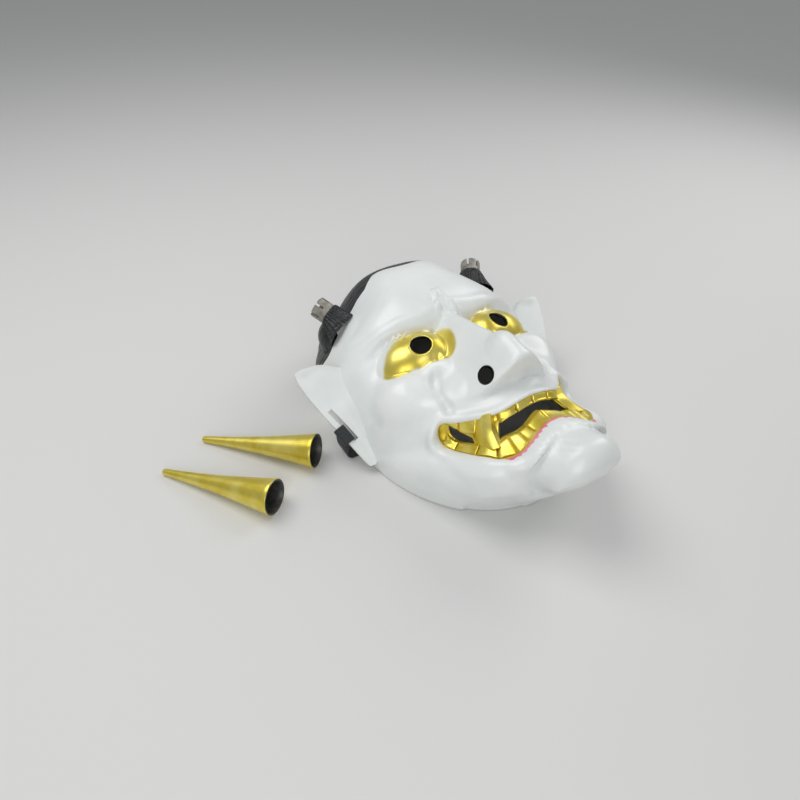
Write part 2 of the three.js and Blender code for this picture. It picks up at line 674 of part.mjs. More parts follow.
// Stub: a hollow plug with spring tabs around a core
function stubSolid() {
  const radius = stubDiameter / 2;
  const tabs = new THREE.Shape();
  tabs.absarc(0, 0, radius, 0, 2 * Math.PI, false);
  const hole = new THREE.Path();
  hole.absarc(0, 0, radius - tabDepth, 0, 2 * Math.PI, true);
  tabs.holes.push(hole);
  const upright = (geometry) => geometry.rotateX(-Math.PI / 2);
  const ring = new THREE.ExtrudeGeometry(tabs, {
    depth: stubLength, bevelEnabled: false, curveSegments: sides / 2,
  });
  let made = solidFrom(upright(ring));
  const foot = new THREE.CylinderGeometry(radius, radius, 3, sides).translate(0, 1.5, 0);
  const core = new THREE.CylinderGeometry(radius / 3, radius / 3, stubLength - 2, 12)
    .translate(0, stubLength / 2 - 1, 0);
  for (let k = 0; k < stubTabs / 2; k += 1) {
    const cut = new THREE.BoxGeometry(2 * radius + 2, stubLength, tabGap)
      .translate(0, stubLength / 2 + 4.2, 0)
      .rotateY((2 * Math.PI * k) / stubTabs);
    made = made.subtract(solidFrom(cut));
  }
  const bar = new THREE.BoxGeometry(2 * radius - tabDepth, 2.4, 2).translate(0, stubLength - 3, 0);
  return made
    .add(solidFrom(foot))
    .add(solidFrom(core))
    .add(solidFrom(bar.clone().rotateY(Math.PI / stubTabs)));
}

// Horn: a hollow cone with a slightly bowed side and an open mouth
function hornGeometry() {
  const steps = 6;
  const outer = (depth) => boreRadius(depth) + hornWall;
  const points = [new THREE.Vector2(0, hornLength)];
  for (let k = steps; k >= 0; k -= 1) {
    points.push(new THREE.Vector2(outer((hornLength * k) / steps), (hornLength * k) / steps));
  }
  for (let k = 0; k <= 4; k += 1) {
    points.push(new THREE.Vector2(boreRadius((boreDepth * k) / 4), (boreDepth * k) / 4));
  }
  points.push(new THREE.Vector2(0, boreDepth));
  return new THREE.LatheGeometry(points.reverse(), sides);
}

// Materials
const paint = (color, roughness, metalness = 0) =>
  new THREE.MeshStandardMaterial({ color, roughness, metalness });
const whitePaint = paint("#dee2e0", 0.22);
const greyPlastic = paint("#8c8f8e", 0.4);
const goldPaint = paint("#beaf32", 0.3, 0.9);
const blackElastic = paint("#2d3030", 0.9);

const mask = new THREE.Group();
const place = (name, geometry, material) => {
  const mesh = new THREE.Mesh(geometry, material);
  mesh.name = name;
  mask.add(mesh);
  return mesh;
};
place("mask_shell", geometryOf(shell), whitePaint);
place("strap", geometryOf(strapGeometry()), blackElastic);
const stub = onHornAxis(geometryOf(stubSolid()), 0);
place("horn_stub_right", stub, greyPlastic);
place("horn_stub_left", mirrored(stub), greyPlastic);

// The loose horns lie on the table on their sides, mouths towards the chin
const mouthRadius = hornMouthDiameter / 2;
const slope = Math.atan2(mouthRadius - hornTipDiameter / 2, hornLength);
const horns = [
  ["horn_front", scaled(-157, -12), radians(-50.8)],
  ["horn_back", scaled(-115.1, 13.7), radians(-43.9)],
];
for (const [name, [x, y], heading] of horns) {
  const horn = place(name, geometryOf(solidFrom(hornGeometry())), goldPaint);
  horn.rotation.set(0, -slope, heading, "ZYX");
  horn.rotateZ(Math.PI / 2);
  horn.position.set(x, y, mouthRadius * Math.cos(slope));
}

// Origin on the table under the middle of everything
mask.updateMatrixWorld(true);
const box = new THREE.Box3();
mask.children.forEach((mesh) => {
  mesh.geometry.computeBoundingBox();
  box.expandByObject(mesh, true);
});
mask.position.set(
  -(box.min.x + box.max.x) / 2,
  -(box.min.y + box.max.y) / 2,
  -box.min.z,
);
const part = new THREE.Group();
part.add(mask);

export default part;
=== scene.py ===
import math

import bpy
import numpy as np
from mathutils import Matrix, Vector


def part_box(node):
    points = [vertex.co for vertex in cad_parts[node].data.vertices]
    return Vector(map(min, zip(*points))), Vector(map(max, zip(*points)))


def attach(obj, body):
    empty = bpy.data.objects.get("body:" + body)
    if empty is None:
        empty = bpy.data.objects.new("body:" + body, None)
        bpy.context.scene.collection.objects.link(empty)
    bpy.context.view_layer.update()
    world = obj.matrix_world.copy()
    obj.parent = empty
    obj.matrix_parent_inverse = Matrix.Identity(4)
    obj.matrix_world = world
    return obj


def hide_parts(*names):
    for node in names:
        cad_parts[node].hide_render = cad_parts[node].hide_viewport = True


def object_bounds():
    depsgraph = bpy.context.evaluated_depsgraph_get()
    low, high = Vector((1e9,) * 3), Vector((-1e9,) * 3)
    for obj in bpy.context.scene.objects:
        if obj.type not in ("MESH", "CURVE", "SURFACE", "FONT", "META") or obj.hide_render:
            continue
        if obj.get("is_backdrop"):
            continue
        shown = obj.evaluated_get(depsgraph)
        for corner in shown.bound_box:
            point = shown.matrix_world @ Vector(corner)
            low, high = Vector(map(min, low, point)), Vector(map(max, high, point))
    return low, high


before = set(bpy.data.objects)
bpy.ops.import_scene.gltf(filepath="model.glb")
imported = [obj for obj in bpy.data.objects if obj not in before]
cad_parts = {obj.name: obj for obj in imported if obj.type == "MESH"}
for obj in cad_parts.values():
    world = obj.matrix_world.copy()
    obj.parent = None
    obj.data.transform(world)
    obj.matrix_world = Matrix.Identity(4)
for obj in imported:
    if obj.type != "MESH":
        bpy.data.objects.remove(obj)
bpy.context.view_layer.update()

# Camera
# The photograph looks down over the left cheek of the mask, which lies on its back. Every place
# below is given in the mask's own frame in millimetres: its middle line is x = 0, the table is
# z = 0, and the boxes of two nodes tell where that frame lies in the row's frame.
shell_low, shell_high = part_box("mask_shell")
stub_low, stub_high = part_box("horn_stub_right")
stub_foot = np.array([66.6, 86.5, 71.0])
stub_axis = np.array([0.5, 0.79, 0.36]) / np.linalg.norm([0.5, 0.79, 0.36])
stub_length = 11.0


def middle_mm(low, high):
    """The middle of two places in metres, in millimetres."""
    return 1000 * (low + high) / 2


mask_origin = np.array([
    middle_mm(shell_low.x, shell_high.x),
    middle_mm(stub_low.y, stub_high.y) - stub_foot[1] - stub_axis[1] * stub_length / 2,
    0.0,
])


def metres(points):
    """Points of the mask's frame in millimetres, as points of the row's frame in metres."""
    return (np.asarray(points, float) + mask_origin) * 0.001


view_down, view_turn, view_roll = math.radians(40.37), math.radians(32.68), math.radians(2.40)
view_aim, view_distance = np.array([-25.9, 44.8, 0.0]), 500.6
film_width, lens_per_film = 36.0, 611.0 / 800.0
looking = np.array([
    math.sin(view_turn) * math.cos(view_down),
    math.cos(view_turn) * math.cos(view_down),
    -math.sin(view_down),
])
sideways = np.array([math.cos(view_turn), -math.sin(view_turn), 0.0])
upwards = np.cross(sideways, looking)
across = math.cos(view_roll) * sideways + math.sin(view_roll) * upwards
upright = math.cos(view_roll) * upwards - math.sin(view_roll) * sideways
eye_point = metres(view_aim - looking * view_distance)
camera = bpy.data.objects.new("camera", bpy.data.cameras.new("camera"))
bpy.context.scene.collection.objects.link(camera)
camera.matrix_world = Matrix(
    [[across[i], upright[i], -looking[i], eye_point[i]] for i in range(3)] + [[0, 0, 0, 1]]
)
camera.data.sensor_width = film_width
camera.data.lens = film_width * lens_per_film
camera.data.clip_start = 0.01
bpy.context.scene.camera = camera

# Mask shell
# A thin shell of white ABS, moulded in one piece and open at the back, glossy on the outside.
# Eyeballs, gums and lip are picked out in paint, and the hair with its two horn mounds is black.
# Its skin is given by its distance from a pivot behind the eyes, for each direction.
pivot = np.array([0.0, 5.0, 0.0])
half_width = 82.0
wall = 2.2
# The middle line, from the throat rim over chin, mouth, nose and brow to the hair rim
line_angles = np.radians([0, 15, 29, 38, 47, 62, 78, 94, 110, 124, 137, 155, 180])
line_radii = np.array([
    99.2, 115.1, 122.9, 97.6, 89.5, 86.6, 76.6, 72.1, 100.2, 119.4, 131.8, 130.1, 112.9,
])
# How square the cross section is at the throat, chin, mouth, nose, forehead and hair
section_angles = np.radians([0, 29, 50, 80, 120, 180])
section_powers = np.array([2, 2, 2.3, 2.6, 2.4, 2.8])
# Masses on the right half: middle, reach and height
broad_masses = [((0, -74, 62), 56, 21.4), ((0, -116, 62), 36, 21.0)]
small_masses = [
    ((0, 70, 97), 45, -0.9), ((45, 75, 75), 36, -7.6), ((72, 42, 50), 32, 4.9),
    ((80, 70, 25), 32, 12.0), ((60, -3, 56), 28, 8.5), ((38, -22, 62), 22, -8.9),
    ((28, -6, 72), 18, 3.5), ((62, -44, 38), 30, -2.4), ((52, -66, 46), 24, -5.6),
    ((48, -86, 40), 30, 6.2), ((25, -101, 66), 24, 0.4), ((26, -126, 62), 28, 8.0),
    ((0, -116, 28), 36, 5.0), ((0, 108, 15), 40, -5.3), ((55, 100, 20), 36, 12.0),
]
# Roots of the horns: the middle and the half lengths of an egg
horn_roots = [((50, 62, 46), (24, 26, 26)), ((62, 80, 54), (16, 16, 16))]
# The edge of the brow in plan, and the swelling over it
brow_x = np.array([0, 8, 20, 36, 46, 54, 62, 72.0])
brow_y = np.array([28, 25, 23.6, 26.6, 29.9, 32.3, 33.0, 30.5])
brow_swelling = [(9, 30, 88), (20, 28, 87), (36, 31, 83), (48, 35, 76), (60, 38, 66)]
brow_step = 6.5
# The eyeball: two eggs with their middles, half lengths and turns
eyeball_eggs = [
    ((37.5, 15, 61), (26, 20, 19.2), (0, 14, 0)),
    ((22.5, 8.5, 62.8), (14, 18.5, 18.5), (0, 0, 0)),
]
# The opening between the lips in plan, from its top round the corner to its foot
mouth_half = [
    (0, -70.4), (15, -70.5), (25, -68.5), (34, -62.4), (45, -51.4), (51, -45.6), (54.4, -46.4),
    (53.0, -52), (50.6, -60), (48.6, -69), (46.6, -78), (43.4, -86), (39.6, -91.4), (34.5, -95.6),
    (27, -97.5), (18, -95.6), (8, -92), (0, -90.2),
]
# The gold of the right eye, in plan
eye_gold = [
    (61, 12.5), (53.9, 19.8), (44.2, 25.6), (33, 24.2), (21.2, 22), (13, 18.6), (9.4, 12), (10, 4.8),
    (13.9, -4.6), (19.9, -8.8), (29.3, -6), (44.1, -1.7), (55.7, -0.8), (61.2, 2.8), (62.8, 8), (61, 12.5),
]


def ramp(u):
    """A smooth step from 0 at u = 0 to 1 at u = 1."""
    u = np.clip(u, 0, 1)
    return u * u * (3 - 2 * u)


def curve(where, xs, ys):
    """A smooth curve through the points xs, ys, level at both ends, read at the given places."""
    steps = np.diff(xs)
    slopes = np.diff(ys) / steps
    inner = (slopes[1:] * steps[:-1] + slopes[:-1] * steps[1:]) / (steps[1:] + steps[:-1])
    tangents = np.concatenate([[0], inner, [0]])
    i = np.clip(np.searchsorted(xs, where) - 1, 0, len(xs) - 2)
    h = steps[i]
    u = np.clip((where - xs[i]) / h, 0, 1)
    v = 1 - u
    return ((1 + 2 * u) * v * v * ys[i] + u * v * v * h * tangents[i]
            + u * u * (3 - 2 * u) * ys[i + 1] - u * u * v * h * tangents[i + 1])


def path_distance(points, path):
    """Distance to a path and the place of the nearest point along it, counted in its legs."""
    path = np.array(path, float)
    if len(path) == 1:
        return np.linalg.norm(points - path[0], axis=-1), np.zeros(points.shape[:-1])
    best, along = None, None
    for k, (a, b) in enumerate(zip(path, path[1:])):
        leg = b - a
        t = np.clip(((points - a) @ leg) / (leg @ leg), 0, 1)
        d = np.linalg.norm(points - a - t[..., None] * leg, axis=-1)
        if best is None:
            best, along = d, k + t
        else:
            along = np.where(d < best, k + t, along)
            best = np.minimum(best, d)
    return best, along


def swell(points, path, reach, height):
    """A rounded ridge along a path, or a groove where its height is negative."""
    d, along = path_distance(points, path)
    reach = np.interp(along, range(len(reach)), reach) if np.ndim(reach) else reach
    height = np.interp(along, range(len(height)), height) if np.ndim(height) else height
    u = np.minimum(d / reach, 1)
    return height * (1 - u * u) ** 2


def blend(a, b, soft):
    """The larger of two, with a round change over between them."""
    h = np.clip(0.5 + 0.5 * (a - b) / soft, 0, 1)
    return b + (a - b) * h + soft * h * (1 - h)


def egg(directions, middle, radii, turns=(0, 0, 0)):
    """Distance from the pivot to the far side of an egg shape, low where it is missed."""
    rx, ry, rz = np.radians(turns)

    def local(v):
        x, y, z = v[..., 0], v[..., 1], v[..., 2]
        x, y = x * np.cos(rz) + y * np.sin(rz), y * np.cos(rz) - x * np.sin(rz)
        y, z = y * np.cos(rx) + z * np.sin(rx), z * np.cos(rx) - y * np.sin(rx)
        x, z = x * np.cos(ry) - z * np.sin(ry), x * np.sin(ry) + z * np.cos(ry)
        return np.stack([x, y, z], -1) / np.array(radii, float)

    d, o = local(directions), local(pivot - np.array(middle, float))
    a, b = (d * d).sum(-1), (d * o).sum(-1)
    inside = b * b - a * ((o * o).sum(-1) - 1)
    return (-b + np.sqrt(np.maximum(inside, 0)) - 3 * np.sqrt(np.maximum(-inside, 0))) / a


def smooth_outline(points, per_leg=6):
    """The same outline through all its points, rounded between them."""
    p = np.array(points, float)
    t = np.linspace(0, 1, per_leg, endpoint=False)[:, None]
    legs = []
    for i in range(len(p) - 1):
        a, b, c, d = p[max(i - 1, 0)], p[i], p[i + 1], p[min(i + 2, len(p) - 1)]
        legs.append(0.5 * (2 * b + (c - a) * t + (2 * a - 5 * b + 4 * c - d) * t ** 2
                           + (3 * b - a - 3 * c + d) * t ** 3))
    return np.vstack(legs + [p[-1:]])


def outline_distance(x, y, outline, closed=False):
    """Distance in plan to an outline, negative inside. An open one is closed on the middle line."""
    best, inside = np.full(x.shape, 1e9), np.zeros(x.shape, bool)
    for i in range(len(outline)):
        (x0, y0), (x1, y1) = outline[i], outline[(i + 1) % len(outline)]
        if closed or i < len(outline) - 1:
            ex, ey = x1 - x0, y1 - y0
            t = np.clip(((x - x0) * ex + (y - y0) * ey) / (ex * ex + ey * ey), 0, 1)
            best = np.minimum(best, np.hypot(x - x0 - t * ex, y - y0 - t * ey))
        if y0 != y1:
            crossed = ((y0 > y) != (y1 > y)) & (x < (x1 - x0) * (y - y0) / (y1 - y0) + x0)
            inside ^= crossed
    return np.where(inside, -best, best)


mouth_outline = smooth_outline(mouth_half)
# Flat sides, each by a direction square to it and a point on it
nose_flanks = [
    ((0.636, 0.116, 0.763), (0, 10, 88)),
    ((0.42, -0.88, -0.22), (20, -54, 82)),
    ((0, -0.95, -0.30), (0, -54, 90)),
    ((0.8, 0.5, 0.33), (24, 12, 72)),
    ((0, 0.8, 0.6), (0, 30, 84)),
]
nose_ridge = [
    ((0.83, 0.18, 0.53), (0, 10, 92)),
    ((0, 0.30, 0.95), (0, 10, 89.5)),
    ((0, -0.95, -0.20), (0, -56, 95)),
    ((0, -0.50, 0.87), (0, -50, 106)),
    ((0, 0.8, 0.6), (0, 30, 84)),
]
nose_wing = [((0.95, -0.24, 0.20), (40.5, -31, 61))]
nose_tip = ((0, -38, 82), (11.5, 17, 24.5))
wing_crease = [(27, -5, 71), (37, -16, 64), (41, -28, 62), (42, -40, 62)]
brow_ridges = [(1.4, 43, 95), (4.0, 33.5, 93.5), (5.4, 28.5, 90), (7.6, 24.6, 86.5), (12, 22.8, 84)]
cheek_fold = [(30, -2, 66), (44, -14, 58), (50, -32, 52), (56, -44, 46)]
lower_lip_roll = [(0, -101, 80), (18, -104, 74), (34, -100, 62)]
chin_groove = [(0, -109, 78), (14, -108, 74), (28, -102, 65)]
chin_knob = ((0, -122, 60), (24, 15.5, 24))
chin_underside = [((0, -0.872, -0.49), (0, -135, 72))]


def roof(directions, sides, soft):
    """Where a ray from the pivot leaves a body with flat sides and rounded edges."""
    rounded_middle, missed = 0.04 ** 2, 400
    d = directions.copy()
    d[..., 0] = np.sqrt(d[..., 0] ** 2 + rounded_middle)
    out = None
    for square, point in sides:
        square = np.array(square, float) / np.linalg.norm(square)
        facing = d @ square
        reach = square @ (np.array(point, float) - pivot) / np.maximum(facing, 1e-3)
        reach = np.where(facing > 1e-3, np.minimum(reach, missed), missed)
        out = reach if out is None else -blend(-out, -reach, soft)
    return out


def on_ray(directions, radii):
    """The points that lie so far from the pivot."""
    return pivot + directions * radii[..., None]


def folded(directions):
    """Both halves of the face are read from the right one."""
    d = directions.copy()
    d[..., 0] = np.abs(d[..., 0])
    return d


def eyeball(directions):
    """A broad egg, drawn out towards the nose by a smaller one."""
    d = folded(directions)
    return blend(egg(d, *eyeball_eggs[0]), egg(d, *eyeball_eggs[1]), 14)


def face_bed(directions):
    """The broad form of the face."""
    d = folded(directions)
    angle = np.maximum(np.arctan2(d[..., 2], -d[..., 1]), 0)
    power = curve(angle, section_angles, section_powers)
    profile = curve(angle, line_angles, line_radii)
    across_share = d[..., 0] / half_width
    r = (across_share ** power + (np.hypot(d[..., 1], d[..., 2]) / profile) ** power) ** (-1 / power)
    for middle, reach, height in broad_masses:
        r = r + swell(on_ray(d, r), [middle], reach, height)
    base = on_ray(d, r)
    for middle, reach, height in small_masses:
        r = r + swell(base, [middle], reach, height)
    for middle, half_lengths in horn_roots:
        r = blend(r, egg(d, middle, half_lengths), 8)
    return r


def eye_socket(directions):
    """The face with its brows, before its eyeballs, nose, folds and lips."""
    d = folded(directions)
    r = face_bed(d)
    skin = on_ray(d, r)
    x, y = skin[..., 0], skin[..., 1]
    # Brow edge, and the pressed band under it
    under = curve(x, brow_x, brow_y) - y
    r = r + swell(skin, brow_swelling, 9, 3.2)
    from_nose_to_temple = ramp((x - 5) / 8) * (1 - ramp((x - 60) / 14))
    return r - brow_step * ramp(under / 3.2) * (1 - ramp((under - 8) / 22)) * from_nose_to_temple


def skin_radius(directions):
    d = folded(directions)
    skin = on_ray(d, face_bed(d))
    r = eye_socket(d)
    x, y, z = skin[..., 0], skin[..., 1], skin[..., 2]
    # Eyeball, which lies in the socket
    r = blend(r, eyeball(d), 0.8)
    # Nose, a roof of two flat flanks with a round tip, set in a crease at the cheek
    r = r + swell(skin, wing_crease, [6, 6.5, 6.5, 6], [-5, -8, -10, -7])
    flank = -blend(-roof(d, nose_flanks, 6), -roof(d, nose_wing, 1), 5)
    ridge = blend(roof(d, nose_ridge, 9), egg(d, *nose_tip), 7)
    r = blend(r, blend(ridge, flank, 22), 1.2)
    # Thin ridges from the bridge up to a point between the brows
    r = r + swell(on_ray(d, r), brow_ridges, [3, 3.4, 3.7, 3.8, 3.4], [3, 4.2, 4.6, 3.6, 1.4])
    # Fold from the inner corner of the eye past the wing to the mouth
    r = r + swell(skin, cheek_fold, 10, 2)
    # Lips: a roll along the upper one, and a band, a groove and a low fold along the lower one
    gap = outline_distance(x, y, mouth_outline)
    lower = ramp((-y - 60) / 16)
    in_front = ramp((z - 22) / 14)
    r = r + 3 * (1 - ramp(np.abs(gap - 3.2) / 5)) * in_front * (1 - lower)
    band = 3 * ramp(gap / 2 + 1) * (1 - ramp((gap - 6.5) / 4.5))
    groove = np.exp(-(((gap - 12.5) / 3) ** 2))
    low_fold = 0.8 * np.exp(-(((gap - 20) / 4) ** 2))
    r = r + (band - groove + low_fold) * in_front * lower
    r = r + swell(skin, lower_lip_roll, 11, 5.5)
    r = r + swell(on_ray(d, r), chin_groove, 13, [-5, -5, -3])
    # Chin, a knob cut off flat below
    knob = -blend(-egg(d, *chin_knob), -roof(d, chin_underside, 1), 4)
    return blend(r, knob, 5)


# The hairline, by its turn from the top of the head and its tilt from straight ahead in degrees
hairline = [
    (0, 41.4), (4.8, 41.7), (10.5, 43.6), (16.4, 45.2), (24.8, 45.6), (29.7, 48.6), (36, 52),
    (43.4, 53.6), (48.2, 56.4), (50.2, 62.2), (51.6, 68.2), (53.5, 80), (54.5, 93),
]
bare_side = [(tilt * math.sin(math.radians(turn)), tilt * math.cos(math.radians(turn)))
             for turn, tilt in hairline + [(90, 130), (180, 130)]]

# The net: directions over the half space in front of the face, a square laid on a disc
net_steps, net_pinch = 190, 0.85
ticks = np.linspace(-1, 1, net_steps + 1)
right, ahead = np.meshgrid(ticks, ticks, indexing="ij")
far = np.maximum(np.abs(right), np.abs(ahead))
steep = np.abs(ahead) > np.abs(right)
with np.errstate(all="ignore"):
    turn = np.where(steep, np.pi / 2 - np.pi / 4 * right / ahead, np.pi / 4 * ahead / right)
turn = np.where(far == 0, 0, turn)
sign = np.where(steep, np.sign(ahead), np.sign(right))
fan = np.pi / 2 * (net_pinch * far + (1 - net_pinch) * far ** 3)
level = np.where(far > 1 - 1e-9, 0, np.cos(fan))
net = np.stack([sign * np.cos(turn) * np.sin(fan), sign * np.sin(turn) * np.sin(fan), level], -1)
net = net.reshape(-1, 3)
knots = np.arange((net_steps + 1) ** 2).reshape(net_steps + 1, net_steps + 1)
squares = np.stack([knots[:-1, :-1], knots[1:, :-1], knots[1:, 1:], knots[:-1, 1:]], -1)
# Each square is parted along the diagonal that points to the middle of the face
first_half = np.arange(net_steps) < net_steps / 2
same = (first_half[:, None] == first_half[None])[..., None]
triangles = np.concatenate([
    np.where(same, squares[..., [0, 1, 2]], squares[..., [0, 1, 3]]).reshape(-1, 3),
    np.where(same, squares[..., [0, 2, 3]], squares[..., [1, 2, 3]]).reshape(-1, 3),
])
locked = np.zeros(len(net), bool)


def cut_net(field):
    """Moves or adds vertices so that no triangle is crossed by the line where the field is zero."""
    global net, triangles, locked
    near_enough = 0.3  # a vertex moves on to the line if it is this share of an edge away
    value = field(net)
    edges = np.unique(np.sort(triangles[:, [0, 1, 1, 2, 2, 0]].reshape(-1, 2), axis=1), axis=0)
    crossing = edges[value[edges[:, 0]] * value[edges[:, 1]] < 0]
    start, leg = net[crossing[:, 0]], net[crossing[:, 1]] - net[crossing[:, 0]]
    low, high = np.zeros(len(crossing)), np.ones(len(crossing))
    for halving in range(9):
        t = (low + high) / 2
        point = start + leg * t[:, None]
        same_side = field(point / np.linalg.norm(point, axis=1)[:, None]) * value[crossing[:, 0]] > 0
        low, high = np.where(same_side, t, low), np.where(same_side, high, t)
    crossed_at = {(int(i), int(j)): share for (i, j), share in zip(crossing, t)}
    nearest = np.minimum(t, 1 - t)
    for i in np.argsort(nearest):
        if nearest[i] > near_enough:
            break
        near, other = crossing[i] if t[i] < 0.5 else crossing[i][::-1]
        on_rim = abs(net[near][2]) < 1e-9
        if on_rim or locked[near] or value[near] == 0 or value[near] * value[other] >= 0:
            continue
        moved = net[near] + (net[other] - net[near]) * nearest[i]
        net[near] = moved / np.linalg.norm(moved)
        value[near] = 0
    made, extra = {}, []

    def middle(i, j):
        key = (min(i, j), max(i, j))
        if key not in made:
            share = crossed_at[key] if i < j else 1 - crossed_at[key]
            point = net[i] + (net[j] - net[i]) * share
            made[key] = len(net) + len(extra)
            extra.append(point / np.linalg.norm(point))
        return made[key]

    signs = np.sign(value)[triangles]
    split = (signs.max(1) > 0) & (signs.min(1) < 0)
    kept = [triangles[~split]]
    fresh = []
    for tri in triangles[split]:
        side = np.sign(value[tri])
        zero = [i for i in range(3) if side[i] == 0]
        if zero:
            z, p, r = tri[zero[0]], tri[(zero[0] + 1) % 3], tri[(zero[0] + 2) % 3]
            m = middle(p, r)
            fresh += [(z, p, m), (z, m, r)]
        else:
            single = next(i for i in range(3) if side[i] not in (side[i - 1], side[i - 2]))
            z, p, r = tri[single], tri[(single + 1) % 3], tri[(single + 2) % 3]
            m, n = middle(z, p), middle(r, z)
            fresh += [(z, m, n), (m, p, r), (m, r, n)]
    triangles = np.vstack(kept + ([np.array(fresh)] if fresh else []))
    if extra:
        net = np.vstack([net, np.array(extra)])
        value = np.concatenate([value, np.zeros(len(extra))])
    locked = np.concatenate([locked, np.ones(len(extra), bool)]) | (value == 0)
    return value


def mouth_field(d):
    """Distance in plan to the opening of the mouth, negative inside."""
    p = on_ray(folded(d), skin_radius(d))
    return outline_distance(p[..., 0], p[..., 1], mouth_outline)


def eye_field(d):
    """Zero where the eyeball meets its socket, so that an edge of the net runs along the crease."""
    return eye_socket(d) - eyeball(d)


def hair_field(d):
    """Negative on the hair: the distance in degrees to the outline of the bare skin."""
    tilt = np.degrees(np.arccos(np.clip(d[..., 2], -1, 1)))
    reach = np.hypot(d[..., 0], d[..., 1]) + 1e-9
    return -outline_distance(tilt * np.abs(d[..., 0]) / reach, tilt * d[..., 1] / reach, bare_side)


def rod_field(d, middle, axis, diameter):
    """Distance to the side of a straight round hole, negative inside."""
    axis = np.array(axis, float) / np.linalg.norm(axis)
    off = on_ray(folded(d), skin_radius(d)) - np.array(middle, float)
    return np.linalg.norm(off - (off @ axis)[..., None] * axis, axis=-1) - diameter / 2


# Holes: a point on the middle line of each, its direction and its width
pupil_hole = ((33.4, 9.0, 79), (0.35, -0.2, 0.91), 15.4)
nostril_hole = ((14.5, -42, 82), (0.73, -0.47, 0.5), 12.2)


def pupil_field(d):
    return rod_field(d, *pupil_hole)


def nostril_field(d):
    return rod_field(d, *nostril_hole)


# What is cut away between the rows of teeth, in plan: behind the fang, and between the fangs
corner_gap = [
    (48.2, -48.6), (43.8, -54), (41.6, -59), (40.2, -66), (41.4, -72), (43.4, -67.5), (45.4, -57.5),
]
middle_gap = [
    (0, -74.8), (12.5, -75.1), (19, -74.8), (24.8, -73.4), (28.2, -78.5), (32.4, -84), (27.5, -83.5),
    (21, -85.8), (15, -86), (5, -82), (0, -80.5),
]


def gap_field(d):
    """Distance in plan to the gaps between the rows of teeth, negative inside."""
    p = on_ray(folded(d), skin_radius(d))
    return np.minimum(
        outline_distance(p[..., 0], p[..., 1], corner_gap, closed=True),
        outline_distance(p[..., 0], p[..., 1], middle_gap),
    )


cut_net(mouth_field)
for field in (eye_field, hair_field, pupil_field, nostril_field, gap_field):
    cut_net(field)


def inside_of(field):
    """Which triangles lie where the field is negative; a middle point decides."""
    m = net[triangles].mean(1)
    return field(m / np.linalg.norm(m, axis=1)[:, None]) < 0


# The mouth is a pocket, and what lies in its outline at the rim of the mask isn't part of it
pocket_depth, front_of_face = 7.0, 0.4
holes = inside_of(pupil_field) | inside_of(nostril_field)
pocket = inside_of(mouth_field) & (net[triangles].mean(1)[:, 2] > front_of_face)
gaps = inside_of(gap_field) & pocket
black = inside_of(hair_field)

radii = skin_radius(net)
skin_points = on_ray(net, radii)
triangle_normals = np.cross(
    skin_points[triangles[:, 1]] - skin_points[triangles[:, 0]],
    skin_points[triangles[:, 2]] - skin_points[triangles[:, 0]],
)
normals = np.zeros_like(skin_points)
for c in range(3):
    np.add.at(normals, triangles[:, c], triangle_normals)
normals /= np.linalg.norm(normals, axis=1)[:, None]
slant = np.abs((normals * net).sum(1))
# The wall is thick square to the skin, and behind the mouth it lies under the pocket's floor
beyond_mouth = np.zeros(len(net), bool)
beyond_mouth[triangles[~pocket]] = True
skin_gap = mouth_field(net)
skin_gap = np.where(beyond_mouth, np.maximum(skin_gap, 0), skin_gap)
skin_gap[np.intersect1d(triangles[~pocket], triangles[pocket])] = 0
least_slant = 0.5
inner_radii = radii - wall / np.maximum(slant, least_slant)
inner_radii = np.where(skin_gap < wall, np.minimum(inner_radii, radii - pocket_depth - wall), inner_radii)
# The lips roll in towards the teeth
roll_depth, roll_reach = 1.6, 2.2
lip_roll = roll_depth * (1 - np.clip(skin_gap / roll_reach, 0, 1)) ** 2
outer_radii = radii - np.where(beyond_mouth, lip_roll, 0)

count = len(net)
points = np.vstack([on_ray(net, outer_radii), on_ray(net, radii - pocket_depth), on_ray(net, inner_radii)])
SKIN, FLOOR, BACK = 0, count, 2 * count
faces, paints = [], []
WHITE, BLACK, GOLD = range(3)


def lay(tris, offset, paint, flip=False):
    """Lays triangles of the net on the skin, the pocket's floor or the back, in one paint."""
    faces.append((tris[:, ::-1] if flip else tris) + offset)
    paints.append(np.broadcast_to(paint, len(tris)))


def rim_edges(tris):
    """Directed edges that only one of the triangles has."""
    e = tris[:, [0, 1, 1, 2, 2, 0]].reshape(-1, 2)
    code = e[:, 0].astype(np.int64) * count + e[:, 1]
    back = e[:, 1].astype(np.int64) * count + e[:, 0]
    return e[~np.isin(code, back)]


def wall_between(edges, top, bottom, paint):
    """Closes the shell along edges, from one of its three layers to another."""
    i, j = edges[:, 0], edges[:, 1]
    faces.append(np.stack([i + top, i + bottom, j + bottom], -1))
    faces.append(np.stack([i + top, j + bottom, j + top], -1))
    paints.append(np.broadcast_to(paint, 2 * len(edges)))


surface = ~pocket & ~holes
colour = np.where(black, BLACK, WHITE)
lay(triangles[surface], SKIN, colour[surface])
floor_part = pocket & ~gaps
lay(triangles[floor_part], FLOOR, GOLD)
solid_part = surface | floor_part
lay(triangles[solid_part], BACK, WHITE, flip=True)
surface_rim = rim_edges(triangles[surface])
floor_rim = rim_edges(triangles[floor_part])


def facing(edges, tris):
    """Which of the directed edges have one of the triangles on their other side."""
    e = tris[:, [0, 1, 1, 2, 2, 0]].reshape(-1, 2)
    code = e[:, 0].astype(np.int64) * count + e[:, 1]
    return np.isin(edges[:, 1].astype(np.int64) * count + edges[:, 0], code)


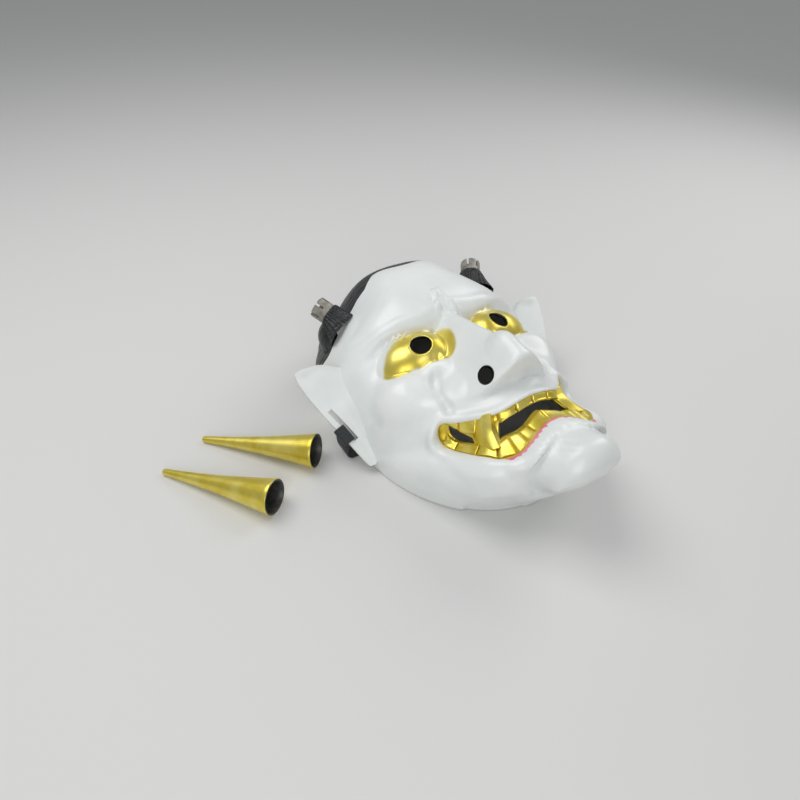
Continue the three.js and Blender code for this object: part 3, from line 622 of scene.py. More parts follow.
lip = facing(surface_rim, triangles[pocket])
wall_between(surface_rim[lip], SKIN, FLOOR, GOLD)
# The walls of the pupils and nostrils and the outer rim of the shell take the black lacquer; in the pupils
# and nostrils it is painted shade, so that the holes look dark all through.
wall_between(surface_rim[~lip], SKIN, BACK, BLACK)
wall_between(floor_rim[facing(floor_rim, triangles[gaps])], FLOOR, BACK, GOLD)
shell_faces, shell_paints = np.vstack(faces), np.concatenate(paints)


def colour_of(code, alpha=1.0):
    """A linear colour from its sRGB hex value."""
    values = [int(code[i:i + 2], 16) / 255 for i in (1, 3, 5)]
    return tuple(v / 12.92 if v <= 0.04045 else ((v + 0.055) / 1.055) ** 2.4 for v in values) + (alpha,)


def add(material, kind, inputs=None, **settings):
    """Adds a node with its settings; an input given as a socket is linked, any other is set.
    Inputs go by name, or by number where two have the same one."""
    made = material.node_tree.nodes.new(kind)
    for name, value in settings.items():
        setattr(made, name, value)
    for name, value in (inputs or {}).items():
        named = [socket for socket in made.inputs if socket.enabled and socket.name == name]
        socket = named[0] if named else made.inputs[name]
        if isinstance(value, bpy.types.NodeSocket):
            material.node_tree.links.new(value, socket)
        else:
            socket.default_value = value
    return made


def new_material(name):
    material = bpy.data.materials.new(name)
    material.use_nodes = True
    material.node_tree.nodes.clear()
    return material


def finish_with(material, shader):
    """Makes the shader the material's surface."""
    add(material, "ShaderNodeOutputMaterial", {"Surface": shader.outputs[0]})


def result_of(node):
    """The output that the node's kind of data has switched on."""
    return next(output for output in node.outputs if output.enabled)


def waves_of(millimetres):
    """The scale of a pattern whose waves or grains are so long."""
    return 1000 / millimetres


def ramp_between(material, factor, low, high, first, second):
    """A colour that goes from the first to the second as the factor goes from low to high."""
    made = add(material, "ShaderNodeValToRGB", {"Fac": factor})
    made.color_ramp.elements[0].position, made.color_ramp.elements[1].position = low, high
    made.color_ramp.elements[0].color, made.color_ramp.elements[1].color = first, second
    return made


def mesh_piece(name, vertices, polygons, materials, paints=None, smooth=True):
    """A piece from its points in metres; paints tells which of the materials each face has."""
    mesh = bpy.data.meshes.new(name)
    mesh.from_pydata([tuple(v) for v in vertices], [], [tuple(int(i) for i in f) for f in polygons])
    for material in materials:
        mesh.materials.append(material)
    if paints is not None:
        mesh.polygons.foreach_set("material_index", np.asarray(paints, np.int32))
    mesh.polygons.foreach_set("use_smooth", np.full(len(mesh.polygons), smooth))
    mesh.update()
    piece = bpy.data.objects.new(name, mesh)
    bpy.context.scene.collection.objects.link(piece)
    return piece


# Moulded ABS, sprayed glossy white: clear highlights that waver a little over the moulding.
# The eyeballs are airbrushed gold through a mask, so their edge fades where it nears the brow, and
# the lower lip has a thin brushed line of pink, whose edge the fine peel of the paint breaks up.
white_paint = new_material("glossy_white_abs")
place = add(white_paint, "ShaderNodeTexCoord").outputs["Object"]
gilding = add(white_paint, "ShaderNodeAttribute", attribute_name="gilding").outputs["Fac"]
brushed = add(white_paint, "ShaderNodeAttribute", attribute_name="lip_paint").outputs["Fac"]
cloud = add(white_paint, "ShaderNodeTexNoise", {"Vector": place, "Scale": waves_of(30), "Detail": 3.0})
peel = add(white_paint, "ShaderNodeTexNoise", {"Vector": place, "Scale": waves_of(2.2), "Detail": 2.0})
wave = add(white_paint, "ShaderNodeTexNoise", {"Vector": place, "Scale": waves_of(14), "Detail": 1.0})
cloud, peel, wave = cloud.outputs["Fac"], peel.outputs["Fac"], wave.outputs["Fac"]
white_tint = ramp_between(white_paint, cloud, 0.35, 0.7, colour_of("#dfe3e1"), colour_of("#e9ecea"))
gold_tint = ramp_between(white_paint, wave, 0.3, 0.7, colour_of("#dcc747"), colour_of("#efe07c"))
pink_tint = ramp_between(white_paint, wave, 0.3, 0.7, colour_of("#e0607c"), colour_of("#f08aa0"))
gilt = add(white_paint, "ShaderNodeMix", {
    "Factor": gilding, "A": white_tint.outputs[0], "B": gold_tint.outputs[0],
}, data_type="RGBA")
brush_edge = add(white_paint, "ShaderNodeMath", {0: brushed, 1: peel}, operation="ADD")
pink = add(white_paint, "ShaderNodeMapRange", {
    "Value": brush_edge.outputs[0], "From Min": 2.35, "From Max": 2.6,
})
coat = add(white_paint, "ShaderNodeMix", {
    "Factor": pink.outputs[0], "A": result_of(gilt), "B": pink_tint.outputs[0],
}, data_type="RGBA")
gloss = add(white_paint, "ShaderNodeMapRange", {"Value": cloud, "To Min": 0.3, "To Max": 0.4})
metal = add(white_paint, "ShaderNodeMapRange", {"Value": gilding, "To Min": 0.0, "To Max": 0.8})
wavering = add(white_paint, "ShaderNodeBump", {"Height": wave, "Strength": 0.35, "Distance": 0.0004})
relief = add(white_paint, "ShaderNodeBump", {
    "Height": peel, "Normal": wavering.outputs[0], "Strength": 0.25, "Distance": 0.00005,
})
finish_with(white_paint, add(white_paint, "ShaderNodeBsdfPrincipled", {
    "Base Color": result_of(coat), "Metallic": metal.outputs[0], "Roughness": gloss.outputs[0],
    "IOR": 1.5, "Normal": relief.outputs[0], "Coat Weight": 0.2, "Coat Roughness": 0.2,
}))

# Black lacquer over combed hair, raised in strands; the strands are painted lighter in thin streaks, painted
# highlights along the hairline and down the sides. The scale counts them per metre: 1.9 mm wide, 17 mm long
# across, 22 mm down.
black_paint = new_material("black_lacquer")
place = add(black_paint, "ShaderNodeTexCoord").outputs["Object"]
comb = add(black_paint, "ShaderNodeMapping", {"Vector": place, "Scale": (60, 520, 45)})
strands_and_sheen = add(black_paint, "ShaderNodeTexNoise", {"Vector": comb.outputs[0], "Scale": 1.0, "Detail": 2.0})
cloud = add(black_paint, "ShaderNodeTexNoise", {"Vector": place, "Scale": waves_of(8), "Detail": 4.0})
strands_and_sheen, cloud = strands_and_sheen.outputs["Fac"], cloud.outputs["Fac"]
# Painted highlight: the lacquer's colour runs from near black to dark grey along the strands.
tint = ramp_between(black_paint, strands_and_sheen, 0.35, 0.7, colour_of("#08090a"), colour_of("#2a2c2e"))
gloss = add(black_paint, "ShaderNodeMapRange", {"Value": cloud, "To Min": 0.25, "To Max": 0.42})
relief = add(black_paint, "ShaderNodeBump", {"Height": strands_and_sheen, "Strength": 1.0, "Distance": 0.0016})
finish_with(black_paint, add(black_paint, "ShaderNodeBsdfPrincipled", {
    "Base Color": tint.outputs[0], "Roughness": gloss.outputs[0], "IOR": 1.5,
    "Normal": relief.outputs[0],
}))

# Metallic gold spray paint: satin, with flakes that sparkle a little. They are drawn 0.6 mm
# wide, coarser than real ones, so that they show.
gold_paint = new_material("gold_spray_paint")
place = add(gold_paint, "ShaderNodeTexCoord").outputs["Object"]
flake = add(gold_paint, "ShaderNodeTexVoronoi", {"Vector": place, "Scale": waves_of(0.6)})
cloud = add(gold_paint, "ShaderNodeTexNoise", {"Vector": place, "Scale": waves_of(12), "Detail": 4.0})
cloud = cloud.outputs["Fac"]
tint = ramp_between(gold_paint, cloud, 0.35, 0.7, colour_of("#dcc747"), colour_of("#efe07c"))
gloss = add(gold_paint, "ShaderNodeMapRange", {"Value": cloud, "To Min": 0.26, "To Max": 0.4})
relief = add(gold_paint, "ShaderNodeBump", {
    "Height": flake.outputs["Color"], "Strength": 0.2, "Distance": 0.00004,
})
finish_with(gold_paint, add(gold_paint, "ShaderNodeBsdfPrincipled", {
    "Base Color": tint.outputs[0], "Metallic": 0.8, "Roughness": gloss.outputs[0],
    "Normal": relief.outputs[0],
}))

used = np.unique(shell_faces)
renumbered = np.zeros(len(points), int)
renumbered[used] = np.arange(len(used))
mask_face = mesh_piece("mask_face", metres(points[used]), renumbered[shell_faces],
                       [white_paint, black_paint, gold_paint], shell_paints)


def store_on_skin(name, values):
    """Stores a paint's strength on the skin's points, and none on the mouth's floor and the back."""
    values = np.concatenate([values, np.zeros(2 * count)])[used]
    mask_face.data.attributes.new(name, "FLOAT", "POINT").data.foreach_set("value", values)


skin_x, skin_y, skin_z = skin_points.T
gold_edge = outline_distance(np.abs(skin_x), skin_y, smooth_outline(eye_gold)[:-1], closed=True)
fade = 1.1 + 3.4 * ramp((skin_y - 8) / 12)
store_on_skin("gilding", ramp(np.clip(0.5 - gold_edge / fade, 0, 1) * (skin_z > 40)))
# The pink runs a little way up from the teeth and ends before the corners of the mouth. Its
# strength is kept 2 higher than it is, so that a piece without it, read as 0, has none.
line_width, line_top, line_half = 1.5, -78, 38
pink_ends = np.minimum((line_top - skin_y) / 3, (line_half - np.abs(skin_x)) / 3)
brushed = np.clip(np.minimum(line_width - skin_gap, pink_ends), -2, 1)
store_on_skin("lip_paint", np.where(beyond_mouth & (net[:, 2] > front_of_face), brushed, -2) + 2)
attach(mask_face, "root")
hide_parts("mask_shell")

# Teeth and fangs
# Two rows of gold-painted teeth, moulded with the shell and parted by grooves, and two fangs with
# three facets each. They stand on the floor of the mouth, which is cut away between the rows.
tooth_depth, tooth_foot, tooth_edge, tooth_groove, tooth_crown = 2.6, 8.0, 1.3, 0.35, 0.35
# Where the teeth part on the right half: x and y at the lip, x and y at the gap
upper_middle = [(0, -69.4, 0, -74.8), (13.6, -69.5, 13, -75.1), (25.6, -67, 25, -73.6)]
upper_corner = [(33.6, -60.4, 38, -65.4), (43.6, -49.6, 43.4, -54.4), (51, -43, 48.8, -47.8)]
lower_row = [
    (0, -91, 0, -80.5), (14, -94.6, 14.5, -85.6), (21.3, -97, 21, -86), (29.8, -97.2, 27.5, -83.5),
    (39.4, -91, 34.5, -83), (46.4, -78, 41, -74.6), (50.2, -61, 45.4, -58.5), (53, -50.4, 49, -49),
]


def skin_place(x, y, depth):
    """The point of the skin over a place in plan, or so deep under it."""
    over_all = 150.0
    low, high = np.zeros(x.shape), np.full(x.shape, over_all)
    for halving in range(34):
        z = (low + high) / 2
        off = np.stack([x - pivot[0], y - pivot[1], z - pivot[2]], -1)
        length = np.linalg.norm(off, axis=-1)
        d = off / length[..., None]
        outside = length > skin_radius(d)
        high, low = np.where(outside, z, high), np.where(outside, low, z)
    return on_ray(d, skin_radius(d) - depth)


def moulded_block(vertices, polygons, x, y, depth):
    """A block over a grid in plan, from a foot in the gum up to the given depths under the skin."""
    rows, columns = x.shape
    start = len(vertices)
    top = skin_place(x, y, depth).reshape(-1, 3)
    ring = ([(0, j) for j in range(columns)] + [(i, columns - 1) for i in range(1, rows)]
            + [(rows - 1, j) for j in range(columns - 2, -1, -1)] + [(i, 0) for i in range(rows - 2, 0, -1)])
    rim = [i * columns + j for i, j in ring]
    foot = skin_place(x.reshape(-1)[rim], y.reshape(-1)[rim], np.full(len(rim), tooth_foot))
    vertices.extend(top)
    vertices.extend(foot)
    cells = [(i * columns + j, i * columns + j + 1, (i + 1) * columns + j + 1, (i + 1) * columns + j)
             for i in range(rows - 1) for j in range(columns - 1)]
    low = rows * columns
    n = len(rim)
    cells += [(rim[(k + 1) % n], rim[k], low + k, low + (k + 1) % n) for k in range(n)]
    cells.append(tuple(low + k for k in range(n)))
    rim_x, rim_y = x.reshape(-1)[rim], y.reshape(-1)[rim]
    area = (rim_x * np.roll(rim_y, -1) - np.roll(rim_x, -1) * rim_y).sum()
    for cell in cells:
        polygons.append(tuple(start + i for i in (cell[::-1] if area < 0 else cell)))


# Grid lines across a tooth, close together where its edges are round
tooth_grid = np.array([0, 0.03, 0.08, 0.15, 0.27, 0.42, 0.58, 0.73, 0.85, 0.92, 0.97, 1])


def tooth(vertices, polygons, start, end, side):
    """A tooth between two partings, with round edges and a slightly crowned face."""
    outer_start, outer_end = np.array(start[:2], float), np.array(end[:2], float)
    inner_start, inner_end = np.array(start[2:], float), np.array(end[2:], float)
    wide = (np.linalg.norm(outer_end - outer_start) + np.linalg.norm(inner_end - inner_start)) / 2
    tall = (np.linalg.norm(inner_start - outer_start) + np.linalg.norm(inner_end - outer_end)) / 2
    parting = tooth_groove / wide
    s, t = np.meshgrid(parting + tooth_grid * (1 - 2 * parting), tooth_grid, indexing="ij")
    from_start, from_lip = s[..., None], t[..., None]
    start_side = (1 - from_lip) * outer_start + from_lip * inner_start
    end_side = (1 - from_lip) * outer_end + from_lip * inner_end
    plan = (1 - from_start) * start_side + from_start * end_side
    from_side = np.minimum(s * wide, (1 - s) * wide) - tooth_groove
    from_end = np.minimum(t, 1 - t) * tall
    fall = 1 - np.clip(np.minimum(from_side, from_end) / tooth_edge, 0, 1)
    rounding = tooth_edge * (1 - np.sqrt(1 - 0.98 * fall ** 2))
    depth = tooth_depth - tooth_crown * 4 * s * (1 - s) + rounding
    moulded_block(vertices, polygons, side * plan[..., 0], plan[..., 1], depth)


for name, rows in [("upper_teeth", [upper_middle, upper_corner]), ("lower_teeth", [lower_row])]:
    vertices, polygons = [], []
    for row in rows:
        for start, end in zip(row, row[1:]):
            tooth(vertices, polygons, start, end, 1)
            tooth(vertices, polygons, start, end, -1)
    piece = mesh_piece(name, metres(vertices), polygons, [gold_paint])
    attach(piece, "root")

# A fang: its corner side and its middle side from top to tip, and its facets from side to side
fang_corner_side = np.array([(34.2, -56.6), (39.4, -66.5), (41.8, -75.0), (41.2, -81.6)], float)
fang_middle_side = np.array([(25.2, -66.6), (27.4, -72.0), (29.6, -79.0), (32.4, -87.4)], float)
facet_places = np.array([0, 0.05, 0.12, 0.26, 0.31, 0.36, 0.55, 0.66, 0.71, 0.76, 0.90, 0.95, 1])
facet_depths = np.array([5.5, 4.2, 3.1, 0.6, -0.4, -0.7, -0.8, -0.7, -0.3, 0.9, 3.9, 4.8, 6.0])
down = np.array([0, 0.04, 0.1, 0.2, 0.33, 0.46, 0.6, 0.74, 0.86, 0.93, 0.97, 1])
fang_corner_edge, fang_middle_edge = (
    np.stack([np.interp(down * 3, range(4), side[:, c]) for c in (0, 1)], -1)
    for side in (fang_corner_side, fang_middle_side)
)
across_fang = (fang_middle_edge - fang_corner_edge)[:, None] * facet_places[None, :, None]
plan = fang_corner_edge[:, None] + across_fang
# Its root and its tip sink back from its middle, and nothing reaches the floor of the mouth
root_sinks, tip_sinks, deepest = 2.2 * (1 - ramp(down / 0.12)), 2.6 * ramp((down - 0.9) / 0.1) ** 2, 7.4
depth = np.minimum(facet_depths[None] + root_sinks[:, None] + tip_sinks[:, None], deepest)
vertices, polygons = [], []
for side in (1, -1):
    moulded_block(vertices, polygons, side * plan[..., 0], plan[..., 1], depth)
fangs = mesh_piece("fangs", metres(vertices), polygons, [gold_paint])
fangs.data.set_sharp_from_angle(angle=math.radians(24))
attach(fangs, "root")

# Ears
# Flat pointed flanges of the same moulding that stand off the sides of the head, each with a
# long slot for the strap near its outer edge. Their roots run into the wall of the shell.
ear_tip = np.array([-111.7, 50.7, 55.2])
ear_down = np.array([0.3101, -0.7675, -0.5611]) / np.linalg.norm([0.3101, -0.7675, -0.5611])
ear_face = np.cross(ear_down, [0.948, 0.2055, 0.2429])
ear_face /= np.linalg.norm(ear_face)
ear_in = np.cross(ear_face, ear_down)
ear_thickness = 2.6
slot_length, slot_width, slot_turn = 28.0, 3.9, math.radians(2.5)
slot_middle = np.array([49.7, 3.2])
# Outer edge and root of an ear: how far down from the tip, and how far in
ear_outer = np.array([
    (0, 0), (2, -1), (8, -2.7), (21.2, -3.6), (35.2, -3.4), (47.7, -2.8), (63.2, -2), (80.3, -1.5),
    (84.7, -0.6), (86, 3),
])
ear_inner = np.array([
    (0, 3), (0.1, 3.9), (1.3, 8.5), (4, 16.4), (6.8, 20.7), (11.2, 24.6), (16, 29.5), (27, 32),
    (60, 18), (82, 10), (86, 3.2),
])
ear_length = 86
slot_start, slot_end = slot_middle[0] - slot_length / 2, slot_middle[0] + slot_length / 2
ear_rows = np.unique(np.concatenate([
    [0, 0.15, 0.5, 1, 1.8, 2.8, 4, 5.4, 7, 9], np.linspace(11, slot_start, 13),
    np.linspace(slot_start, slot_end, 15), np.linspace(slot_end, 80, 10),
    [81.5, 83, 84.2, 85, 85.6, 85.9, ear_length],
]).round(4))
# Columns run from 0 at the outer edge to slot_column at the slot, 1 behind it and 2 at the root
slot_column = 0.4
ear_columns = np.array([
    0, 0.03, 0.1, 0.2, 0.3, slot_column, 1, 1.04, 1.1, 1.2, 1.3, 1.4, 1.5, 1.6, 1.7, 1.8, 1.9, 1.97, 2,
])


def ear_place(u, v, w):
    """A point so far down from the ear's tip, so far in from its edge and so far out of its face."""
    return ear_tip + u[..., None] * ear_down + v[..., None] * ear_in + w[..., None] * ear_face


def kept_in_wall(points):
    """What would reach through the shell stays inside its wall."""
    depth_in_wall = 0.6 * wall
    off = points - pivot
    length = np.linalg.norm(off, axis=-1)
    d = off / length[..., None]
    least = skin_radius(np.where(d[..., 2:] < 0, d * [1, 1, 0], d)) - depth_in_wall
    return np.where((length < least)[..., None], pivot + d * least[..., None], points)


low = np.interp(ear_rows, ear_outer[:, 0], ear_outer[:, 1])
high = np.interp(ear_rows, ear_inner[:, 0], ear_inner[:, 1])
slot_line = slot_middle[1] + (ear_rows - slot_middle[0]) * math.tan(slot_turn)
broad = high - low > 9
slot_low = np.where(broad, slot_line - slot_width / 2, low + 0.3 * (high - low))[:, None]
slot_high = np.where(broad, slot_line + slot_width / 2, low + 0.7 * (high - low))[:, None]
low, high = low[:, None], high[:, None]
inwards = np.where(
    ear_columns <= slot_column,
    low + (slot_low - low) * ear_columns / slot_column,
    slot_high + (high - slot_high) * (ear_columns - 1),
)
down_ear = np.broadcast_to(ear_rows[:, None], inwards.shape)
# The ear is dished towards its tip, and a low rib runs down between the slot and the root
edge = np.minimum(np.minimum(inwards - low, high - inwards + 4), np.minimum(down_ear, ear_length - down_ear))
dish = -1.5 * ramp((edge - 1.5) / 7) * ramp((46 - down_ear) / 14)
rib = 0.9 * np.exp(-(((inwards - 0.42 * high - 3) / 3.2) ** 2)) * ramp((down_ear - 20) / 20)
ear_points = kept_in_wall(np.concatenate([
    ear_place(down_ear, inwards, dish + rib).reshape(-1, 3),
    ear_place(down_ear, inwards, np.full(inwards.shape, -ear_thickness)).reshape(-1, 3),
]))
rows, columns = inwards.shape
under = rows * columns
beside_slot = (ear_rows[:-1] >= slot_start - 1e-6) & (ear_rows[1:] <= slot_end + 1e-6)
solid = np.ones((rows - 1, columns - 1), bool)
solid[beside_slot, list(ear_columns).index(slot_column)] = False
ear_cells = []
for i, j in np.argwhere(solid):
    a, b = i * columns + j, i * columns + j + 1
    c, e = b + columns, a + columns
    ear_cells += [(a, e, c, b), (a + under, b + under, c + under, e + under)]
    for beside, one, two in (((i, j - 1), e, a), ((i, j + 1), b, c), ((i - 1, j), a, b), ((i + 1, j), c, e)):
        inside = 0 <= beside[0] < rows - 1 and 0 <= beside[1] < columns - 1
        if not (inside and solid[beside]):
            ear_cells.append((one, two, two + under, one + under))
for side, name in ((1, "ear_left"), (-1, "ear_right")):
    polygons = ear_cells if side > 0 else [cell[::-1] for cell in ear_cells]
    ear = mesh_piece(name, metres(ear_points * [side, 1, 1]), polygons, [white_paint])
    soft_edge = ear.modifiers.new("soft_edge", "BEVEL")
    soft_edge.width = 0.0007
    soft_edge.segments = 3
    soft_edge.limit_method = "ANGLE"
    soft_edge.angle_limit = math.radians(50)
    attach(ear, "root")

# Horn mounds
# Truncated cones of black hair, moulded with the shell and fluted from the skin up to the seat
# of each stub. A horn's bore fits over its stub, so the sizes of the horn set the mound's.
horn_length, horn_mouth, horn_tip = 89.3, 25.0, 4.4
horn_wall, horn_flare, bore_depth = 1.4, 1.1, 60.0
stub_clearance, seat_gap = 1.2, 0.3
mound_height, mound_foot, mound_lip = 16.0, 19.0, 1.6
flutes, flute_depth, drawn_share = 13, 0.55, 0.95


def bore_radius(depth):
    """Inside of a horn, so deep from its mouth."""
    return ((horn_mouth + (horn_tip - horn_mouth) * depth / horn_length) / 2
            - horn_wall - horn_flare * np.sin(np.pi * depth / horn_length))


stub_radius = bore_radius(stub_length) - stub_clearance


def turned(profile, foot, axis, sides, flute=None):
    """A body of revolution along an axis; the profile gives radius and height pairs."""
    axis = np.array(axis, float) / np.linalg.norm(axis)
    one = np.cross(axis, [0.0, 0.0, 1.0])
    one /= np.linalg.norm(one)
    two = np.cross(axis, one)
    angle = np.linspace(0, 2 * np.pi, sides, endpoint=False)
    spin = np.cos(angle)[:, None] * one + np.sin(angle)[:, None] * two
    rings = []
    for radius, height in profile:
        grown = radius + (flute(angle, height) if flute and radius > 0.01 else 0)
        rings.append(np.array(foot, float) + height * axis + np.reshape(grown, (-1, 1)) * spin)
    points = np.vstack(rings)
    cells = []
    for i in range(len(profile) - 1):
        for k in range(sides):
            n = (k + 1) % sides
            cells.append((i * sides + k, i * sides + n, (i + 1) * sides + n, (i + 1) * sides + k))
    return points, cells


mound_top = stub_radius + mound_lip
towards_nose = [-0.72, -0.55, 0.42]
across_mound = np.cross(stub_axis, [0.0, 0.0, 1.0])
across_mound /= np.linalg.norm(across_mound)
down_mound = np.cross(stub_axis, across_mound)


def mound_flute(angle, height):
    """Flutes round the mound, whose foot is drawn in on the side of the face."""
    depth = flute_depth * ramp(-height / 3) * ramp((height + mound_height) / 3 + 0.6)
    around = np.cos(angle)[:, None] * across_mound + np.sin(angle)[:, None] * down_mound
    on_face_side = ramp((around @ towards_nose + 0.35) / 0.9)
    drawn_in = drawn_share * on_face_side * (mound_foot - mound_top) * -height / mound_height
    return depth * (np.abs(np.sin(flutes * angle + 0.4 * np.sin(3 * angle))) * 2 - 1) - drawn_in


mound_profile = [
    (0, -seat_gap), (mound_top - 1.0, -seat_gap), (mound_top - 0.3, -seat_gap - 0.15),
    (mound_top, -seat_gap - 0.8),
]
for down_mound_share in np.arange(1, 13) / 12:
    spread = 0.75 * down_mound_share + 0.25 * down_mound_share ** 2
    mound_profile.append((
        mound_top + (mound_foot - mound_top) * spread,
        -seat_gap - 0.8 - (mound_height - 0.8) * down_mound_share,
    ))
for side, name in ((-1, "horn_mound_left"), (1, "horn_mound_right")):
    points, cells = turned(mound_profile, stub_foot, stub_axis, 12 * flutes, mound_flute)
    points = kept_in_wall(points) * [side, 1, 1]
    if side < 0:
        cells = [cell[::-1] for cell in cells]
    mound = mesh_piece(name, metres(points), cells, [black_paint])
    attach(mound, "root")

# Horn stubs
# Short hollow plugs with six spring tabs round a core, moulded on their own and fixed to the
# mounds. The solids have their true shape and only get their material here.
# Grey moulded polystyrene, scuffed where the horns are pushed on: light and dark patches 4 mm wide.
grey_plastic = new_material("grey_moulded_plastic")
place = add(grey_plastic, "ShaderNodeTexCoord").outputs["Object"]
grain = add(grey_plastic, "ShaderNodeTexNoise", {"Vector": place, "Scale": waves_of(4), "Detail": 4.0})
grain = grain.outputs["Fac"]
tint = ramp_between(grey_plastic, grain, 0.3, 0.7, colour_of("#6d6a62"), colour_of("#a5a196"))
gloss = add(grey_plastic, "ShaderNodeMapRange", {"Value": grain, "To Min": 0.25, "To Max": 0.45})
relief = add(grey_plastic, "ShaderNodeBump", {"Height": grain, "Strength": 0.3, "Distance": 0.0003})
finish_with(grey_plastic, add(grey_plastic, "ShaderNodeBsdfPrincipled", {
    "Base Color": tint.outputs[0], "Roughness": gloss.outputs[0], "IOR": 1.5,
    "Normal": relief.outputs[0],
}))
for name in ("horn_stub_left", "horn_stub_right"):
    stub = bpy.data.objects[name]
    stub.data.materials.clear()
    stub.data.materials.append(grey_plastic)

# Horns
# Hollow tapering cones with a slightly bowed side, sprayed gold outside; the thin rim of the
# mouth and the inside are bare dark plastic. They lie loose on the table on their sides.
# Bare dark polystyrene: dull inside the bore, with a faint mottling from the mould.
bare_plastic = new_material("bare_dark_plastic")
place = add(bare_plastic, "ShaderNodeTexCoord").outputs["Object"]
grain = add(bare_plastic, "ShaderNodeTexNoise", {"Vector": place, "Scale": waves_of(3), "Detail": 4.0})
grain = grain.outputs["Fac"]
tint = ramp_between(bare_plastic, grain, 0.3, 0.7, colour_of("#2b2b29"), colour_of("#474743"))
gloss = add(bare_plastic, "ShaderNodeMapRange", {"Value": grain, "To Min": 0.3, "To Max": 0.5})
finish_with(bare_plastic, add(bare_plastic, "ShaderNodeBsdfPrincipled", {
    "Base Color": tint.outputs[0], "Roughness": gloss.outputs[0], "IOR": 1.5,
}))
tip_round, horn_sides = 0.9, 96
GILT_OUTSIDE, BARE_INSIDE = range(2)


def horn_radius(depth):
    """Outside of a horn, so deep from its mouth."""
    return bore_radius(depth) + horn_wall


horn_outside = [(0, horn_length), (1.2, horn_length - 0.05)]
for t in np.radians([20, 40, 60, 80]):
    horn_outside.append((
        horn_radius(horn_length - tip_round) - tip_round * (1 - math.sin(t)),
        horn_length - tip_round * (1 - math.cos(t)),
    ))
horn_outside += [(horn_radius(depth), depth) for depth in np.linspace(horn_length - tip_round, 0.3, 40)]
horn_rim = [(horn_radius(0) - 0.25, 0.0), (bore_radius(0) + 0.15, 0.0)]
horn_inside = [(bore_radius(depth), depth) for depth in np.linspace(0.2, bore_depth, 16)] + [(0, bore_depth)]
# A horn lies on its side, so its middle line slopes down to the tip
horn_slope = math.atan2(horn_mouth / 2 - horn_tip / 2, horn_length)
for name, mouth, heading in (("horn_front", (-157, -12), -50.8), ("horn_back", (-115.1, 13.7), -43.9)):
    heading = math.radians(heading)
    axis = (
        -math.cos(horn_slope) * math.cos(heading),
        -math.cos(horn_slope) * math.sin(heading),
        -math.sin(horn_slope),
    )
    foot = (mouth[0], mouth[1], horn_mouth / 2 * math.cos(horn_slope))
    points, cells = turned(horn_outside + horn_rim + horn_inside, foot, axis, horn_sides)
    gilt_cells = len(horn_outside) * horn_sides
    paints = [GILT_OUTSIDE if k < gilt_cells else BARE_INSIDE for k in range(len(cells))]
    horn = mesh_piece(name + "_body", metres(points), cells, [gold_paint, bare_plastic], paints)
    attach(horn, "root")
    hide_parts(name)

# Strap
# A flat woven elastic band. It comes up through each slot, turns round the outer edge of the
# ear, goes down behind it and runs on the table under the rim and across the hollow.
strap_width, strap_thickness, strap_clearance, strap_end_gap = 13.2, 1.0, 0.35, 1.2
strap_lay = strap_clearance + strap_thickness / 2
strap_row = slot_middle[0] + slot_length / 2 - strap_end_gap - strap_width / 2
behind_ear = -ear_thickness - strap_lay
past_edge = -3.4 - strap_lay
# From behind the ear up through the slot and round its outer edge: how far in, and how far out
strap_loop = [
    (slot_middle[1] + 1.2, behind_ear - 4.2), (slot_middle[1] + 0.2, behind_ear - 0.8),
    (slot_middle[1] + 0.1, -ear_thickness / 2), (slot_middle[1] - 0.3, strap_lay * 0.7),
    (slot_middle[1] - 1.5, strap_lay + 0.15), (-2.4, strap_lay + 0.1),
    (past_edge - 0.1, strap_lay * 0.3), (past_edge - 0.5, -ear_thickness / 2),
    (past_edge, -ear_thickness - strap_lay * 0.6), (-2.1, behind_ear - 0.5), (-0.8, behind_ear - 2.2),
]
stations = [ear_place(np.array(strap_row), np.array(v), np.array(w)) for v, w in strap_loop]
# The direction across the strap at each station
widths = [ear_down] * len(stations)
strap_floor = strap_lay - 0.2
landing = np.array([-88, 11.5, strap_floor])
leave, level_way = stations[-1], np.array([0.0, -1.0, 0.0])
arc = [leave, leave + [0.5, 1.5, -9], landing + [-9, 0, 0], landing]
for k in range(1, 10):
    t = k / 9
    weights = ((1 - t) ** 3, 3 * t * (1 - t) ** 2, 3 * t * t * (1 - t), t ** 3)
    stations.append(sum(weight * point for weight, point in zip(weights, arc)))
    lean = ramp(k / 7)
    widths.append(ear_down * (1 - lean) + level_way * lean)
for x in (-60, -30):
    stations.append(np.array([x, landing[1], strap_floor]))
    widths.append(level_way)
stations, widths = np.array(stations), np.array(widths)
fine = smooth_outline(np.vstack([stations, stations[::-1] * [-1, 1, 1]]))
fine_widths = smooth_outline(np.vstack([widths, widths[::-1] * [-1, 1, 1]]))
# Its face is woven in lengthwise ribs, and its edges are thinner
ribs, rib_depth = 22, 0.07
across_share = np.linspace(-0.5, 0.5, ribs * 2 + 1)
thin_edge = np.clip((np.abs(across_share) - 0.46) / 0.04, 0, 1) ** 2
half_thick = strap_thickness / 2 * (1 - 0.7 * thin_edge) - rib_depth
half_thick += rib_depth * np.cos(across_share * ribs * 2 * np.pi)
vertices, polygons = [], []
for i, (station, width) in enumerate(zip(fine, fine_widths)):
    along = fine[min(i + 1, len(fine) - 1)] - fine[max(i - 1, 0)]
    along /= np.linalg.norm(along)
    flat = width - (width @ along) * along
    flat /= np.linalg.norm(flat)
    up = np.cross(along, flat)
    for side in (1, -1):
        for share, half in zip(across_share[::side], half_thick):
            vertices.append(station + flat * share * strap_width + up * side * half)
ring = 2 * len(across_share)
for i in range(len(fine) - 1):
    for k in range(ring):
        n = (k + 1) % ring
        polygons.append((i * ring + k, i * ring + n, (i + 1) * ring + n, (i + 1) * ring + k))
polygons.append(tuple(range(ring))[::-1])
polygons.append(tuple((len(fine) - 1) * ring + k for k in range(ring)))
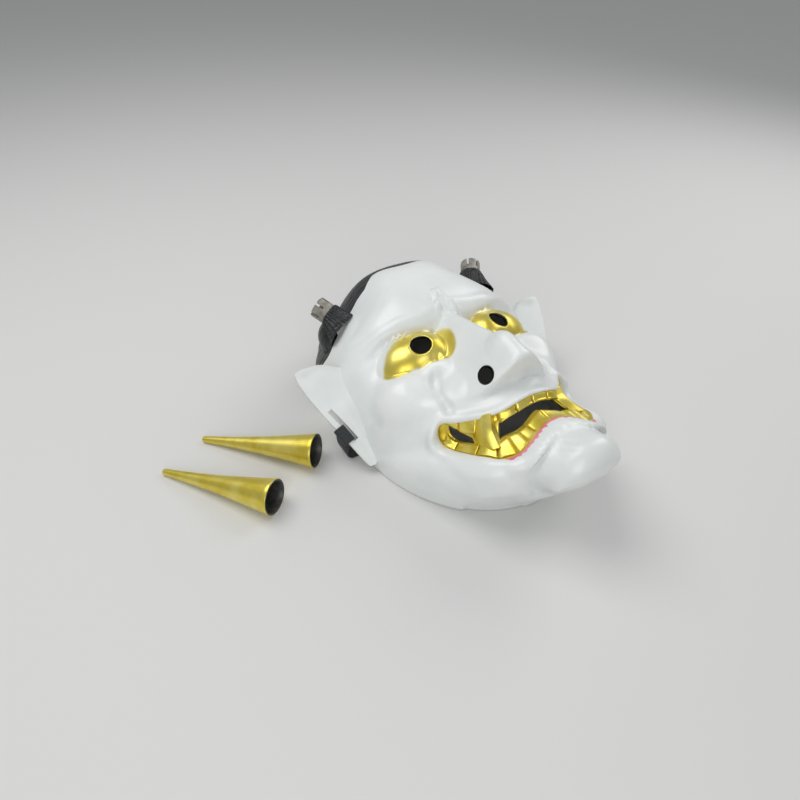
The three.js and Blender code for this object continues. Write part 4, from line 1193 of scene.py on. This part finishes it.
# Woven black elastic: matt, with a fine uneven grain from its threads, whose paler specks are painted
# glints. The grain is drawn 0.6 mm wide, coarser than real threads, so that it shows.
elastic = new_material("woven_black_elastic")
place = add(elastic, "ShaderNodeTexCoord").outputs["Object"]
threads_and_glints = add(elastic, "ShaderNodeTexNoise", {"Vector": place, "Scale": waves_of(0.6), "Detail": 2.0})
threads_and_glints = threads_and_glints.outputs["Fac"]
# The paler end of this ramp gives the thread grain its painted glints.
tint = ramp_between(elastic, threads_and_glints, 0.3, 0.75, colour_of("#1f2223"), colour_of("#3f4444"))
relief = add(elastic, "ShaderNodeBump", {"Height": threads_and_glints, "Strength": 0.6, "Distance": 0.0003})
finish_with(elastic, add(elastic, "ShaderNodeBsdfPrincipled", {
    "Base Color": tint.outputs[0], "Roughness": 0.85, "IOR": 1.5, "Sheen Weight": 0.15,
    "Normal": relief.outputs[0],
}))
strap = mesh_piece("strap_band", metres(vertices), polygons, [elastic])
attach(strap, "root")
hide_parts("strap")

# Table and light
# A plain pale table top, and three wide soft lamps over it: from above, the right and the front.
table_half = 3
table_corners = [(-table_half, -table_half, 0), (table_half, -table_half, 0), (table_half, table_half, 0),
                 (-table_half, table_half, 0)]
# Matt pale laminate, plain so that the shadows of the mask lie soft on it.
table_paint = new_material("pale_table")
finish_with(table_paint, add(table_paint, "ShaderNodeBsdfPrincipled", {
    "Base Color": colour_of("#d8d8d6"), "Roughness": 0.7,
}))
table = mesh_piece("table", table_corners, [(0, 1, 2, 3)], [table_paint], smooth=False)
table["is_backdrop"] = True
lamp_aim = Vector((0.03, 0.0, 0.05))


def soft_lamp(name, stand, size, power):
    """A square lamp that looks at the middle of the things on the table."""
    lamp = bpy.data.objects.new(name, bpy.data.lights.new(name, "AREA"))
    lamp.data.shape = "SQUARE"
    lamp.data.size = size
    lamp.data.energy = power
    lamp.location = stand
    lamp.rotation_euler = (lamp_aim - Vector(stand)).to_track_quat("-Z", "Y").to_euler()
    bpy.context.scene.collection.objects.link(lamp)


soft_lamp("lamp_over", (-0.3, 0.35, 1.0), size=0.7, power=5.2)
soft_lamp("lamp_right", (0.9, 0.1, 0.7), size=0.6, power=3)
soft_lamp("lamp_front", (-0.6, -0.9, 0.6), size=0.7, power=4.5)
room = bpy.data.worlds.new("room")
room.use_nodes = True
room_light = room.node_tree.nodes["Background"]
room_light.inputs["Color"].default_value = (0.8, 0.81, 0.83, 1)
room_light.inputs["Strength"].default_value = 0.42
bpy.context.scene.world = room
bpy.context.scene.view_settings.view_transform = "Standard"

low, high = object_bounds()
